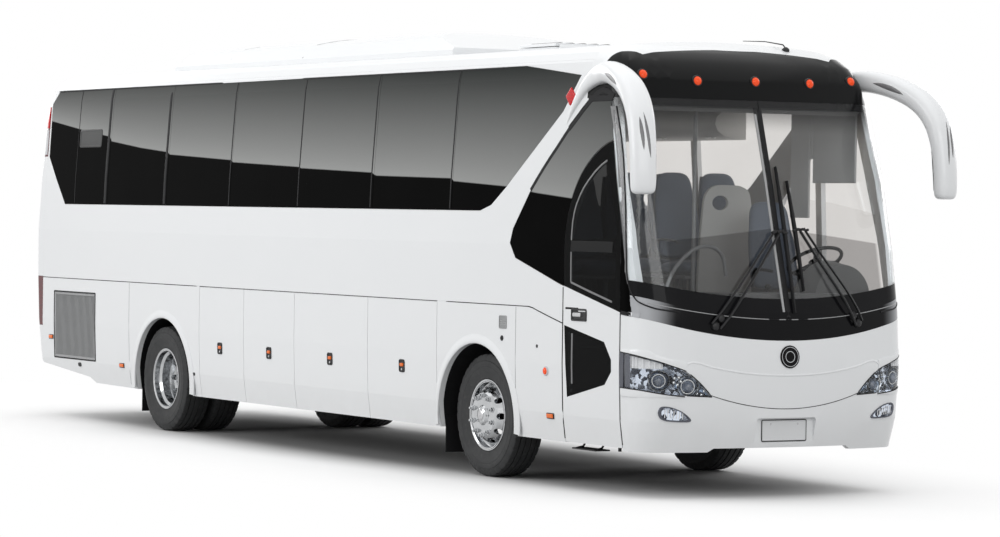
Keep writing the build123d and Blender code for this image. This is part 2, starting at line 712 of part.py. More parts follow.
with BuildPart() as roof_pod:
    with BuildSketch(Plane.XZ):
        with BuildLine():
            Polyline((POD_X[0], 3560), (POD_X[0], 3600), (POD_X[0] + 130, 3740), (POD_X[0] + 330, 3785))
            ThreePointArc((POD_X[0] + 330, 3785), (-1700, 3822), (300, 3830))
            ThreePointArc((300, 3830), (1350, 3770), (POD_X[1], 3640))
            Polyline((POD_X[1], 3640), (POD_X[1], 3560), (POD_X[0], 3560))
        make_face()
    extrude(amount=POD_HALF, both=True)
    with BuildSketch(Plane.YZ.offset(POD_X[0])):
        with BuildLine():
            ThreePointArc((-POD_HALF + 110, 3745), (0, 3835), (POD_HALF - 110, 3745))
            Polyline((POD_HALF - 110, 3745), (POD_HALF, 3620), (POD_HALF, 3500), (-POD_HALF, 3500))
            Polyline((-POD_HALF, 3500), (-POD_HALF, 3620), (-POD_HALF + 110, 3745))
        make_face()
    extrude(amount=POD_X[1] - POD_X[0], mode=Mode.INTERSECT)
    add(SKIN, mode=Mode.SUBTRACT)
save(roof_pod.part, "roof_pod")

# ---- tail --------------------------------------------------------------------
TAIL_LINE_Z = 790.0
HATCH_TOP = 1700.0
ENGINE_HATCH_HALF = HALF_WIDTH - 325
ENGINE_HINGE_X = TAIL_X + 3.5 + HINGE_DEPTH
REAR_GLASS_HALF = HALF_WIDTH - 275
REAR_GLASS_Z = (2150.0, 3150.0)
LAMP_INNER_Y = HALF_WIDTH - 155
TAIL_LAMP_Z = ((940.0, 1460.0), (2720.0, 3250.0))


def tail_boxes(grow):
    """Blocks at the tail's corners that the lamps fill."""
    with BuildPart() as blocks:
        for low, high in TAIL_LAMP_Z:
            for side_name, side in SIDES:
                with Locations((SIDE_REAR_X - FAR / 2 + grow, side * (LAMP_INNER_Y + FAR / 2 - grow), (low + high) / 2)):
                    Box(FAR, FAR, high - low + 2 * grow)
    return blocks.part


with BuildPart() as tail_lamps:
    add(tail_boxes(-SEAM))
    add(DOOR_SHELL, mode=Mode.INTERSECT)
save(tail_lamps.part, "tail_lamps")

with BuildPart() as rear_recess:
    with Locations((SIDE_REAR_X - FAR / 2, 0, (REAR_GLASS_Z[0] + REAR_GLASS_Z[1]) / 2)):
        Box(FAR, 2 * REAR_GLASS_HALF, REAR_GLASS_Z[1] - REAR_GLASS_Z[0])
    add(SEAT_SHELL, mode=Mode.INTERSECT)

with BuildPart() as rear_wall:
    with Locations((SIDE_REAR_X - FAR / 2, 0, (TAIL_LINE_Z + ROOF_LINE) / 2)):
        Box(FAR, 4 * FAR, ROOF_LINE - TAIL_LINE_Z)
    with Locations((SIDE_REAR_X + REAR_STRIP / 2, 0, (TAIL_LINE_Z + ROOF_LINE) / 2)):
        Box(REAR_STRIP, 2 * REAR_MIDDLE - 2 * SEAM, ROOF_LINE - TAIL_LINE_Z)
    add(WALL_SHELL, mode=Mode.INTERSECT)
    with Locations((SIDE_REAR_X - FAR / 2, 0, (TAIL_LINE_Z + HATCH_TOP + SKIRT_GAP - DOOR_GAP) / 2)):
        Box(
            FAR,
            2 * ENGINE_HATCH_HALF + 4 * DOOR_GAP,
            HATCH_TOP + SKIRT_GAP - TAIL_LINE_Z + DOOR_GAP,
            mode=Mode.SUBTRACT,
        )
    with Locations((SIDE_REAR_X - FAR / 2, 0, (REAR_GLASS_Z[0] + REAR_GLASS_Z[1]) / 2)):
        Box(
            FAR,
            2 * (REAR_GLASS_HALF - BAND_FRAME),
            REAR_GLASS_Z[1] - REAR_GLASS_Z[0] - 2 * BAND_FRAME,
            mode=Mode.SUBTRACT,
        )
    add(tail_boxes(0), mode=Mode.SUBTRACT)
    add(rear_recess.part, mode=Mode.SUBTRACT)
    with BuildSketch(Plane.XZ):
        with Locations((ENGINE_HINGE_X, HATCH_TOP)):
            add(hinge_section(-1))
    extrude(amount=ENGINE_HATCH_HALF, both=True)
save(rear_wall.part, "rear_wall")

with BuildPart() as engine_hatch:
    with Locations((SIDE_REAR_X - FAR / 2, 0, (TAIL_LINE_Z + 2 * DOOR_GAP + HATCH_TOP) / 2)):
        Box(FAR, 2 * ENGINE_HATCH_HALF, HATCH_TOP - TAIL_LINE_Z - 2 * DOOR_GAP)
    add(DOOR_SHELL, mode=Mode.INTERSECT)
    with BuildSketch(Plane.XZ):
        with Locations((ENGINE_HINGE_X, HATCH_TOP)):
            Circle(HINGE_RADIUS + RUN_GAP)
    extrude(amount=FAR, both=True, mode=Mode.SUBTRACT)
save(engine_hatch.part, "engine_hatch")

with BuildPart() as rear_window:
    with Locations((SIDE_REAR_X - FAR / 2, 0, (REAR_GLASS_Z[0] + REAR_GLASS_Z[1]) / 2)):
        Box(FAR, 2 * REAR_GLASS_HALF - 2 * PANE_GAP, REAR_GLASS_Z[1] - REAR_GLASS_Z[0] - 2 * PANE_GAP)
    add(GLASS_SHELL, mode=Mode.INTERSECT)
save(rear_window.part, "rear_window")

with BuildPart() as rear_bumper:
    with Locations((SIDE_REAR_X - FAR / 2, 0, (560 + TAIL_LINE_Z - SEAM) / 2)):
        Box(FAR, 4 * FAR, TAIL_LINE_Z - SEAM - 560)
    add(WALL_SHELL, mode=Mode.INTERSECT)
save(rear_bumper.part, "rear_bumper")

# ---- entrance door -------------------------------------------------------------
DOOR_FRAME = 75.0
DOOR_CROSSBAR = (1925.0, 2005.0)
DOOR_PANE = ((4615.0, 1318.0), (4660.0, 744.0), (5230.0, 869.0), (5331.0, 976.0), (5328.0, 1070.0), (5220.0, 1206.0))
ARM_HEIGHTS = (700.0, 1995.0)
ARM_THICK = 36.0
ARM_WIDTH = 30.0
POST_X = 5380.0
POST_Y = 110 - HALF_WIDTH
POST_RADIUS = 18.0
ARM_LENGTH = 450.0
ARM_EYE_X = POST_X - ARM_LENGTH
ARM_PIN_RADIUS = 10.0
STEP_LOW_Z = 420.0

def low_pane(gap):
    """Side outline of the door's lower pane, grown by gap."""
    with BuildSketch() as face:
        add(side_face(*DOOR_PANE))
        offset(amount=gap, kind=Kind.INTERSECTION)
    return face.sketch


with BuildPart() as door_recess:
    with BuildSketch(Plane.XZ):
        add(side_face(*rect_points(DOOR_REAR_X - FAR, NOSE_X, DOOR_GLASS_LOW, ROOF_LINE)))
        add(low_pane(0))
    extrude(amount=FAR)
    add(SEAT_SHELL, mode=Mode.INTERSECT)

with BuildPart() as entrance_door:
    with BuildSketch(Plane.XZ):
        add(door_face(0))
    extrude(amount=FAR)
    add(DOOR_SHELL, mode=Mode.INTERSECT)
    with BuildSketch(Plane.XZ):
        add(door_face(-DOOR_FRAME))
        with Locations((DOOR_REAR_X, DOOR_GLASS_LOW / 2)):
            Rectangle(2 * FAR, DOOR_GLASS_LOW + 110, mode=Mode.SUBTRACT)
        with Locations((DOOR_REAR_X, (DOOR_CROSSBAR[0] + DOOR_CROSSBAR[1]) / 2)):
            Rectangle(2 * FAR, DOOR_CROSSBAR[1] - DOOR_CROSSBAR[0], mode=Mode.SUBTRACT)
        add(low_pane(-30))
    extrude(amount=FAR, mode=Mode.SUBTRACT)
    add(door_recess.part, mode=Mode.SUBTRACT)
    for arm_z in ARM_HEIGHTS:
        with Locations((ARM_EYE_X, POST_Y - 34, arm_z - ARM_THICK / 2 - 12)):
            Box(50, 118, 20)
        with Locations((ARM_EYE_X, POST_Y, arm_z - 8)):
            Cylinder(ARM_PIN_RADIUS, ARM_THICK + 32)
save(entrance_door.part, "entrance_door")

with BuildPart() as entrance_door_glass:
    with BuildSketch(Plane.XZ):
        add(door_face(0))
        with Locations((DOOR_REAR_X, DOOR_GLASS_LOW / 2)):
            Rectangle(3 * FAR, DOOR_GLASS_LOW + 2 * SEAM, mode=Mode.SUBTRACT)
        add(low_pane(-SEAM))
    extrude(amount=FAR)
    add(GLASS_SHELL, mode=Mode.INTERSECT)
save(entrance_door_glass.part, "entrance_door_glass")

with BuildPart() as door_arms:
    post_low = STEP_LOW_Z + RUN_GAP
    post_high = ARM_HEIGHTS[1] + 60
    with Locations((POST_X, POST_Y, (post_low + post_high) / 2)):
        Cylinder(POST_RADIUS, post_high - post_low)
    for arm_z in ARM_HEIGHTS:
        with Locations(((POST_X + ARM_EYE_X) / 2, POST_Y, arm_z)):
            Box(ARM_LENGTH, ARM_WIDTH, ARM_THICK)
        with Locations((ARM_EYE_X, POST_Y, arm_z)):
            Cylinder(ARM_PIN_RADIUS + 14, ARM_THICK)
            Cylinder(ARM_PIN_RADIUS + RUN_GAP, ARM_THICK, mode=Mode.SUBTRACT)
save(door_arms.part, "door_arms")

# ---- floors and structure ------------------------------------------------------
STAIR_INNER_Y = -500.0
STAIR_TREADS = 3
STAIR_THICK = 30.0
STAIR_OUTER_Y = 56 - HALF_WIDTH
STAIR_RISE = (DECK_Z - STEP_LOW_Z) / STAIR_TREADS
STAIR_RUN = (STAIR_INNER_Y - STAIR_OUTER_Y) / STAIR_TREADS
STAIR_X = (DOOR_REAR_X - 10, FRONT_SEAM_X)


with BuildPart() as passenger_floor:
    with Locations(((SIDE_REAR_X + DECK_REAR_X) / 2, 0, FLOOR_Z - FLOOR_THICK / 2)):
        Box(DECK_REAR_X - SIDE_REAR_X, 2 * HALF_WIDTH, FLOOR_THICK)
    with Locations((DECK_REAR_X - FLOOR_THICK / 2, 0, (FLOOR_Z + DECK_Z - FLOOR_THICK) / 2)):
        Box(FLOOR_THICK, 2 * HALF_WIDTH, FLOOR_Z - DECK_Z + FLOOR_THICK)
    add(LINING, mode=Mode.INTERSECT)
save(passenger_floor.part, "passenger_floor")

CAB_FLOOR_X = (DECK_REAR_X + SEAT_GAP, NOSE_X)
STAIR_WELL = STAIR_THICK + 2 * SEAT_GAP

with BuildPart() as cab_floor:
    with Locations(((CAB_FLOOR_X[0] + CAB_FLOOR_X[1]) / 2, 0, DECK_Z - FLOOR_THICK / 2)):
        Box(CAB_FLOOR_X[1] - CAB_FLOOR_X[0], 2 * HALF_WIDTH, FLOOR_THICK)
    with Locations(((STAIR_X[0] + STAIR_X[1]) / 2, STAIR_INNER_Y + STAIR_WELL - FAR / 2, DECK_Z)):
        Box(STAIR_X[1] - STAIR_X[0] + 2 * STAIR_WELL, FAR, 4 * FLOOR_THICK, mode=Mode.SUBTRACT)
    add(LINING, mode=Mode.INTERSECT)
save(cab_floor.part, "cab_floor")

with BuildPart() as entrance_steps:
    for step in range(STAIR_TREADS):
        tread_z = STEP_LOW_Z + step * STAIR_RISE
        tread_y = STAIR_OUTER_Y + step * STAIR_RUN
        with Locations(((STAIR_X[0] + STAIR_X[1]) / 2, tread_y + STAIR_RUN / 2, tread_z - STAIR_THICK / 2)):
            Box(STAIR_X[1] - STAIR_X[0], STAIR_RUN, STAIR_THICK)
        riser_y = tread_y + STAIR_RUN + SEAT_GAP + STAIR_THICK / 2
        riser_top = STAIR_RISE - (0 if step == STAIR_TREADS - 1 else STAIR_THICK + SEAT_GAP)
        with Locations(((STAIR_X[0] + STAIR_X[1]) / 2, riser_y, tread_z + (riser_top - STAIR_THICK) / 2)):
            Box(STAIR_X[1] - STAIR_X[0], STAIR_THICK, riser_top + STAIR_THICK)
    for wall_x in (STAIR_X[0] - SEAT_GAP - STAIR_THICK / 2, STAIR_X[1] + SEAT_GAP + STAIR_THICK / 2):
        with Locations((wall_x, STAIR_INNER_Y + STAIR_THICK - FAR / 2, (STEP_LOW_Z - STAIR_THICK + DECK_Z) / 2)):
            Box(STAIR_THICK, FAR, DECK_Z - STEP_LOW_Z + STAIR_THICK)
    add(LINING, mode=Mode.INTERSECT)
save(entrance_steps.part, "entrance_steps")

BAY_HALF = HALF_WIDTH - DOOR_WALL - 50
BAY_X = (LUGGAGE_SEAMS[0] + 15, LUGGAGE_SEAMS[-1] - 15)
BAY_WALL = 40.0
BAY_POST = (60.0, 55.0)

with BuildPart() as luggage_bay:
    with Locations(((BAY_X[0] + BAY_X[1]) / 2, 0, BAY_FLOOR_Z - BAY_WALL / 2)):
        Box(BAY_X[1] - BAY_X[0], 2 * BAY_HALF, BAY_WALL)
    for wall_x in (BAY_X[0] + BAY_WALL / 2, BAY_X[1] - BAY_WALL / 2):
        with Locations((wall_x, 0, (BAY_FLOOR_Z - BAY_WALL + FLOOR_Z - FLOOR_THICK) / 2)):
            Box(BAY_WALL, 2 * BAY_HALF, FLOOR_Z - FLOOR_THICK - BAY_FLOOR_Z + BAY_WALL)
    for seam_x in LUGGAGE_SEAMS[1:-1]:
        for side_name, side in SIDES:
            with Locations((seam_x, side * (BAY_HALF - BAY_POST[1] / 2), (BAY_FLOOR_Z + FLOOR_Z - FLOOR_THICK) / 2)):
                Box(BAY_POST[0], BAY_POST[1], FLOOR_Z - FLOOR_THICK - BAY_FLOOR_Z)
save(luggage_bay.part, "luggage_bay")

RAIL_Y = 430.0
RAIL_WIDTH = 80.0
RAIL_Z = (640.0, 860.0)
RAIL_SPANS = ((BAY_X[1], NOSE_X), (TAIL_X, BAY_X[0]))
CROSS_MEMBERS = (2600.0, 4150.0, 5600.0, -2250.0, -3900.0, -4560.0)
CROSS_LENGTH = 2 * RAIL_Y - RAIL_WIDTH - 2 * SEAT_GAP
CROSS_SECTION = (80.0, 120.0)
JACK_PADS = (FRONT_AXLE_X - 465, REAR_AXLE_X + 445)
JACK_PAD = (160.0, RAIL_WIDTH, 15.0)

with BuildPart() as chassis_frame:
    for side_name, side in SIDES:
        for x0, x1 in RAIL_SPANS:
            with Locations(((x0 + x1) / 2, side * RAIL_Y, (RAIL_Z[0] + RAIL_Z[1]) / 2)):
                Box(x1 - x0, RAIL_WIDTH, RAIL_Z[1] - RAIL_Z[0])
        for pad_x in JACK_PADS:
            with Locations((pad_x, side * RAIL_Y, RAIL_Z[0] - SEAT_GAP - JACK_PAD[2] / 2)):
                Box(*JACK_PAD)
    for cross_x in CROSS_MEMBERS:
        with Locations((cross_x, 0, (RAIL_Z[0] + RAIL_Z[1]) / 2)):
            Box(CROSS_SECTION[0], CROSS_LENGTH, CROSS_SECTION[1])
    add(LINING, mode=Mode.INTERSECT)
save(chassis_frame.part, "chassis_frame")

LINER_RADIUS = ARCH_RADIUS + LINER_CLEAR
LINER_RINGS = ((LINER_RADIUS + LINER_WALL, Mode.ADD), (LINER_RADIUS, Mode.SUBTRACT))

with BuildPart() as wheel_housings:
    for arch_x in (FRONT_ARCH_X, REAR_ARCH_X):
        for side_name, side in SIDES:
            with BuildSketch(Plane.XZ.offset(-side * LINER_INNER_Y)):
                for radius, mode in LINER_RINGS:
                    with Locations((arch_x, ARCH_CENTRE_Z)):
                        Circle(radius, mode=mode)
                    with Locations((arch_x, (ARCH_CENTRE_Z + SILL_Z) / 2)):
                        Rectangle(2 * radius, ARCH_CENTRE_Z - SILL_Z, mode=mode)
                with Locations((arch_x, SILL_Z - ARCH_RADIUS)):
                    Rectangle(4 * ARCH_RADIUS, 2 * ARCH_RADIUS, mode=Mode.SUBTRACT)
            extrude(amount=-side * (HALF_WIDTH - DOOR_WALL - SEAT_GAP - LINER_INNER_Y))
    add(body_form(DOOR_WALL + SEAT_GAP), mode=Mode.INTERSECT)
save(wheel_housings.part, "wheel_housings")

FLAP_THICK = 8.0
FLAP_Z = (160.0, ARCH_CENTRE_Z - 5)
FLAP_OUTER_Y = HALF_WIDTH - DOOR_WALL - 55
FLAP_SPANS = ((FRONT_ARCH_X, 900.0), (REAR_ARCH_X, 640.0))

with BuildPart() as mud_flaps:
    for arch_x, flap_inner_y in FLAP_SPANS:
        for side_name, side in SIDES:
            flap_x = arch_x - LINER_RADIUS + SEAT_GAP + FLAP_THICK / 2
            with Locations((flap_x, side * (flap_inner_y + FLAP_OUTER_Y) / 2, (FLAP_Z[0] + FLAP_Z[1]) / 2)):
                Box(FLAP_THICK, FLAP_OUTER_Y - flap_inner_y, FLAP_Z[1] - FLAP_Z[0])
save(mud_flaps.part, "mud_flaps")

ENGINE_X = (TAIL_X + 266, TAIL_X + 1576)

with BuildPart() as engine_block:
    with Locations(((ENGINE_X[0] + ENGINE_X[1]) / 2, 0, 880)):
        Box(ENGINE_X[1] - ENGINE_X[0], 2 * RAIL_Y - RAIL_WIDTH - 2 * SEAT_GAP, 680)
save(engine_block.part, "engine_block")

# ---- axles and knuckles ----------------------------------------------------------
FIST_RADIUS = 48.0
FIST_Z = (AXLE_Z - 80, AXLE_Z + 80)
KINGPIN_RADIUS = 22.0
SPINDLE_RADIUS = 30.0
SPINDLE_END_Y = FRONT_TRACK / 2 + 130
BEAM_HALF = 45.0
SPRING_RADIUS = 115.0
BEAM_TOP = AXLE_Z - 45
BEAM_LOW = AXLE_Z - 145
BEAM_DROP_Y = KINGPIN_Y - 150

with BuildPart() as front_axle:
    with BuildSketch(Plane.YZ.offset(FRONT_AXLE_X - BEAM_HALF)):
        with BuildLine():
            Polyline(
                (-KINGPIN_Y, FIST_Z[0] + 30),
                (-BEAM_DROP_Y, BEAM_LOW),
                (BEAM_DROP_Y, BEAM_LOW),
                (KINGPIN_Y, FIST_Z[0] + 30),
                (KINGPIN_Y, FIST_Z[1] - 30),
                (BEAM_DROP_Y, BEAM_TOP),
                (-BEAM_DROP_Y, BEAM_TOP),
                (-KINGPIN_Y, FIST_Z[1] - 30),
                close=True,
            )
        make_face()
    extrude(amount=2 * BEAM_HALF)
    for side_name, side in SIDES:
        with Locations((FRONT_AXLE_X, side * KINGPIN_Y, (FIST_Z[0] + FIST_Z[1]) / 2)):
            Cylinder(FIST_RADIUS, FIST_Z[1] - FIST_Z[0])
            Cylinder(KINGPIN_RADIUS + RUN_GAP, FIST_Z[1] - FIST_Z[0] + 60, mode=Mode.SUBTRACT)
save(front_axle.part, "front_axle")

KNUCKLE_Z = (FIST_Z[0] - 35, FIST_Z[1] + 35)

for side_name, side in SIDES:
    with BuildPart() as knuckle:
        with Locations((FRONT_AXLE_X, side * KINGPIN_Y, (KNUCKLE_Z[0] + KNUCKLE_Z[1]) / 2)):
            Cylinder(KINGPIN_RADIUS, KNUCKLE_Z[1] - KNUCKLE_Z[0])
        for plate_z in (KNUCKLE_Z[0] + 15, KNUCKLE_Z[1] - 15):
            with Locations((FRONT_AXLE_X, side * KINGPIN_Y, plate_z)):
                Cylinder(FIST_RADIUS, 30)
            with Locations((FRONT_AXLE_X, side * (KINGPIN_Y + 40), plate_z)):
                Box(90, 90, 30)
        with Locations((FRONT_AXLE_X, side * (KINGPIN_Y + 72), (KNUCKLE_Z[0] + KNUCKLE_Z[1]) / 2)):
            Box(90, 34, KNUCKLE_Z[1] - KNUCKLE_Z[0])
        with BuildSketch(Plane(origin=(FRONT_AXLE_X, side * (KINGPIN_Y + 60), AXLE_Z), z_dir=(0, side, 0))):
            Circle(SPINDLE_RADIUS)
        extrude(amount=SPINDLE_END_Y - KINGPIN_Y - 60)
    save(knuckle.part, f"knuckle_{side_name}")

TUBE_RADIUS = 80.0
DIFFERENTIAL_RADIUS = 215.0
REAR_SPINDLE_RADIUS = 60.0

with BuildPart() as rear_axle:
    with BuildSketch(Plane(origin=(REAR_AXLE_X, 0, AXLE_Z), z_dir=(0, 1, 0))):
        Circle(REAR_SPINDLE_RADIUS)
    extrude(amount=REAR_OUTER_Y - 88, both=True)
    with BuildSketch(Plane(origin=(REAR_AXLE_X, 0, AXLE_Z), z_dir=(0, 1, 0))):
        Circle(TUBE_RADIUS)
    extrude(amount=REAR_OUTER_Y - 288, both=True)
    with Locations((REAR_AXLE_X, 0, AXLE_Z)):
        Sphere(DIFFERENTIAL_RADIUS)
    with BuildSketch(Plane(origin=(REAR_AXLE_X, 0, AXLE_Z), z_dir=(-1, 0, 0))):
        Circle(TUBE_RADIUS - 5)
    extrude(amount=2 * DIFFERENTIAL_RADIUS)
save(rear_axle.part, "rear_axle")

with BuildPart() as air_springs:
    for side_name, side in SIDES:
        with Locations((FRONT_AXLE_X, side * RAIL_Y, (BEAM_TOP + RAIL_Z[0]) / 2)):
            Cylinder(SPRING_RADIUS, RAIL_Z[0] - BEAM_TOP)
        with Locations((REAR_AXLE_X, side * RAIL_Y, (AXLE_Z + RAIL_Z[0]) / 2)):
            Cylinder(SPRING_RADIUS, RAIL_Z[0] - AXLE_Z)
    with BuildSketch(Plane(origin=(REAR_AXLE_X, 0, AXLE_Z), z_dir=(0, 1, 0))):
        Circle(TUBE_RADIUS + SEAT_GAP)
    extrude(amount=FAR, both=True, mode=Mode.SUBTRACT)
save(air_springs.part, "air_springs")

# ---- wheels --------------------------------------------------------------------
# Sections are pairs of offset outward from the tyre's middle plane, and radius.
RIM_HALF = RIM_WIDTH / 2
RIM_OUTER = (
    (-RIM_HALF - 8, RIM_RADIUS + 12),
    (-RIM_HALF, RIM_RADIUS + 12),
    (2 - RIM_HALF, RIM_RADIUS),
    (52 - RIM_HALF, RIM_RADIUS - 2),
    (-42, RIM_RADIUS - 24),
    (42, RIM_RADIUS - 24),
    (RIM_HALF - 52, RIM_RADIUS - 2),
    (RIM_HALF - 2, RIM_RADIUS),
    (RIM_HALF, RIM_RADIUS + 12),
    (RIM_HALF + 8, RIM_RADIUS + 12),
)
RIM_INNER = (
    (RIM_HALF + 8, RIM_RADIUS + 4),
    (RIM_HALF + 2, RIM_RADIUS - 11),
    (RIM_HALF - 48, RIM_RADIUS - 13),
    (46, RIM_RADIUS - 35),
    (-46, RIM_RADIUS - 35),
    (48 - RIM_HALF, RIM_RADIUS - 13),
    (-RIM_HALF - 2, RIM_RADIUS - 11),
    (-RIM_HALF - 8, RIM_RADIUS + 4),
)
DISC_OFFSET = TWIN_SPACING / 2 - 4
DISC_THICK = 12.0
HUB_RADIUS = 95.0
HAND_HOLES = 10
HAND_HOLE_CIRCLE = 218.0
FLANGE = TWIN_SPACING / 2


def disc_line(flip):
    """Section of a wheel disc that dishes outward, or inward when flipped."""
    face = DISC_OFFSET
    line = (
        (36, RIM_RADIUS - 30),
        (80, RIM_RADIUS - 46),
        (face - 22, 205),
        (face, 185),
        (face, HUB_RADIUS - 10),
        (face - DISC_THICK, HUB_RADIUS - 10),
        (face - DISC_THICK, 178),
        (face - 32, 194),
        (74, RIM_RADIUS - 59),
        (36, RIM_RADIUS - 44),
    )
    return [(-t if flip else t, r) for t, r in line]


def wheel_section(*lines):
    """Section faces of a wheel, as radius and offset."""
    with BuildSketch() as section:
        for line in lines:
            with BuildLine():
                Polyline(*((r, t) for t, r in line), close=True)
            make_face()
    return section.sketch


def turned(axle_x, tyre_y, side, *lines):
    """Sections turned about the axle line, offset measured outward from tyre_y."""
    with BuildPart() as solid:
        with BuildSketch(Plane(origin=(axle_x, side * tyre_y, AXLE_Z), x_dir=(1, 0, 0), z_dir=(0, 0, side))):
            add(wheel_section(*lines))
        revolve(axis=Axis((axle_x, 0, AXLE_Z), (0, 1, 0)))
    return solid.part


def hand_holes(axle_x, side):
    """Oval cuts through the wheel disc, around the hub."""
    with BuildPart() as holes:
        with BuildSketch(Plane(origin=(axle_x, 0, AXLE_Z), x_dir=(1, 0, 0), z_dir=(0, side, 0))):
            with PolarLocations(HAND_HOLE_CIRCLE, HAND_HOLES):
                Ellipse(19, 27)
        extrude(amount=FAR)
    return holes.part


FRONT_HUB = (
    (-88, SPINDLE_RADIUS + RUN_GAP),
    (-88, HUB_RADIUS),
    (150, HUB_RADIUS),
    (166, 80),
    (182, 66),
    (188, 50),
    (188, 0),
    (134, 0),
    (134, SPINDLE_RADIUS + RUN_GAP),
)
REAR_HUB = (
    (-270, REAR_SPINDLE_RADIUS + RUN_GAP),
    (-270, 110),
    (-FLANGE - 5, 110),
    (-FLANGE - 5, 190),
    (5 - FLANGE, 190),
    (5 - FLANGE, 100),
    (-60, 92),
    (-24, 80),
    (-24, 0),
    (-86, 0),
    (-86, REAR_SPINDLE_RADIUS + RUN_GAP),
)

for side_name, side in SIDES:
    with BuildPart() as front_wheel:
        add(turned(FRONT_AXLE_X, FRONT_TRACK / 2, side, disc_line(False)))
        add(hand_holes(FRONT_AXLE_X, side), mode=Mode.SUBTRACT)
        add(turned(FRONT_AXLE_X, FRONT_TRACK / 2, side, RIM_OUTER + RIM_INNER))
        add(turned(FRONT_AXLE_X, FRONT_TRACK / 2, side, FRONT_HUB))
    save(front_wheel.part, f"wheel_front_{side_name}")
    with BuildPart() as rear_wheel:
        add(turned(REAR_AXLE_X, REAR_OUTER_Y, side, disc_line(True)))
        add(turned(REAR_AXLE_X, REAR_INNER_Y, side, disc_line(False)))
        add(hand_holes(REAR_AXLE_X, side), mode=Mode.SUBTRACT)
        add(turned(REAR_AXLE_X, REAR_OUTER_Y, side, RIM_OUTER + RIM_INNER))
        add(turned(REAR_AXLE_X, REAR_INNER_Y, side, RIM_OUTER + RIM_INNER))
        add(turned(REAR_AXLE_X, REAR_OUTER_Y, side, REAR_HUB))
    save(rear_wheel.part, f"wheel_rear_{side_name}")

TREAD_HALF = TYRE_WIDTH / 2 - 37
BEAD_RADIUS = RIM_RADIUS + 0.85
SIDEWALL = 22.0
CROWN_THICK = 30.0


def tyre(axle_x, tyre_y, side):
    """A tyre, open towards its rim."""
    edge = TYRE_WIDTH / 2
    top = TYRE_DIAMETER / 2
    widest = (top + RIM_RADIUS) / 2
    bead = RIM_HALF - 3
    with BuildPart() as solid:
        with BuildSketch(Plane(origin=(axle_x, side * tyre_y, AXLE_Z), x_dir=(1, 0, 0), z_dir=(0, 0, side))):
            with BuildLine():
                Polyline((BEAD_RADIUS, 26 - bead), (BEAD_RADIUS, -bead), (BEAD_RADIUS + 14, -bead - 1))
                ThreePointArc((BEAD_RADIUS + 14, -bead - 1), (widest, -edge), (top - 22, 22 - edge))
                Line((top - 22, 22 - edge), (top - 4, -TREAD_HALF))
                ThreePointArc((top - 4, -TREAD_HALF), (top, 0), (top - 4, TREAD_HALF))
                Line((top - 4, TREAD_HALF), (top - 22, edge - 22))
                ThreePointArc((top - 22, edge - 22), (widest, edge), (BEAD_RADIUS + 14, bead + 1))
                Polyline((BEAD_RADIUS + 14, bead + 1), (BEAD_RADIUS, bead), (BEAD_RADIUS, bead - 26))
                Line((BEAD_RADIUS, bead - 26), (BEAD_RADIUS + 32, bead - 20))
                inner = ((BEAD_RADIUS + 32, bead - 20), (widest, edge - SIDEWALL), (top - 60, edge - 45))
                ThreePointArc(*inner)
                Line((top - 60, edge - 45), (top - CROWN_THICK, edge - 75))
                Line((top - CROWN_THICK, edge - 75), (top - CROWN_THICK, 75 - edge))
                Line((top - CROWN_THICK, 75 - edge), (top - 60, 45 - edge))
                ThreePointArc(*((r, -t) for r, t in reversed(inner)))
                Line((BEAD_RADIUS + 32, 20 - bead), (BEAD_RADIUS, 26 - bead))
            make_face()
        revolve(axis=Axis((axle_x, 0, AXLE_Z), (0, 1, 0)))
    return solid.part


for side_name, side in SIDES:
    with BuildPart() as front_tyre:
        add(tyre(FRONT_AXLE_X, FRONT_TRACK / 2, side))
    save(front_tyre.part, f"tyre_front_{side_name}")
    with BuildPart() as rear_tyres:
        add(tyre(REAR_AXLE_X, REAR_OUTER_Y, side))
        add(tyre(REAR_AXLE_X, REAR_INNER_Y, side))
    save(rear_tyres.part, f"tyres_rear_{side_name}")

# ---- cabin ----------------------------------------------------------------------
WHEEL_CENTRE = (5150.0, 780.0, 1850.0)
WHEEL_TILT = 30.0
GRIP_RADIUS = 15.0
STEERING_RADIUS = 225.0
TILT = WHEEL_TILT * pi / 180
COLUMN_PLANE = Plane(origin=WHEEL_CENTRE, x_dir=(0, 1, 0), z_dir=(-sin(TILT), 0, cos(TILT)))

with BuildPart() as steering_wheel:
    with BuildSketch(Plane(COLUMN_PLANE.origin, x_dir=COLUMN_PLANE.x_dir, z_dir=COLUMN_PLANE.y_dir)):
        with Locations((STEERING_RADIUS, 0)):
            Circle(GRIP_RADIUS)
    revolve(axis=Axis(COLUMN_PLANE.origin, COLUMN_PLANE.z_dir))
    with BuildSketch(COLUMN_PLANE.offset(-45)):
        Circle(55)
    extrude(amount=45)
    with BuildSketch(COLUMN_PLANE.offset(-22)):
        with PolarLocations(STEERING_RADIUS / 2, 3):
            Rectangle(STEERING_RADIUS, 36)
    extrude(amount=16)
save(steering_wheel.part, "steering_wheel")

DASH_TOP = 1600.0
DASH_RIGHT_Y = -430.0
BINNACLE_RADIUS = 300.0

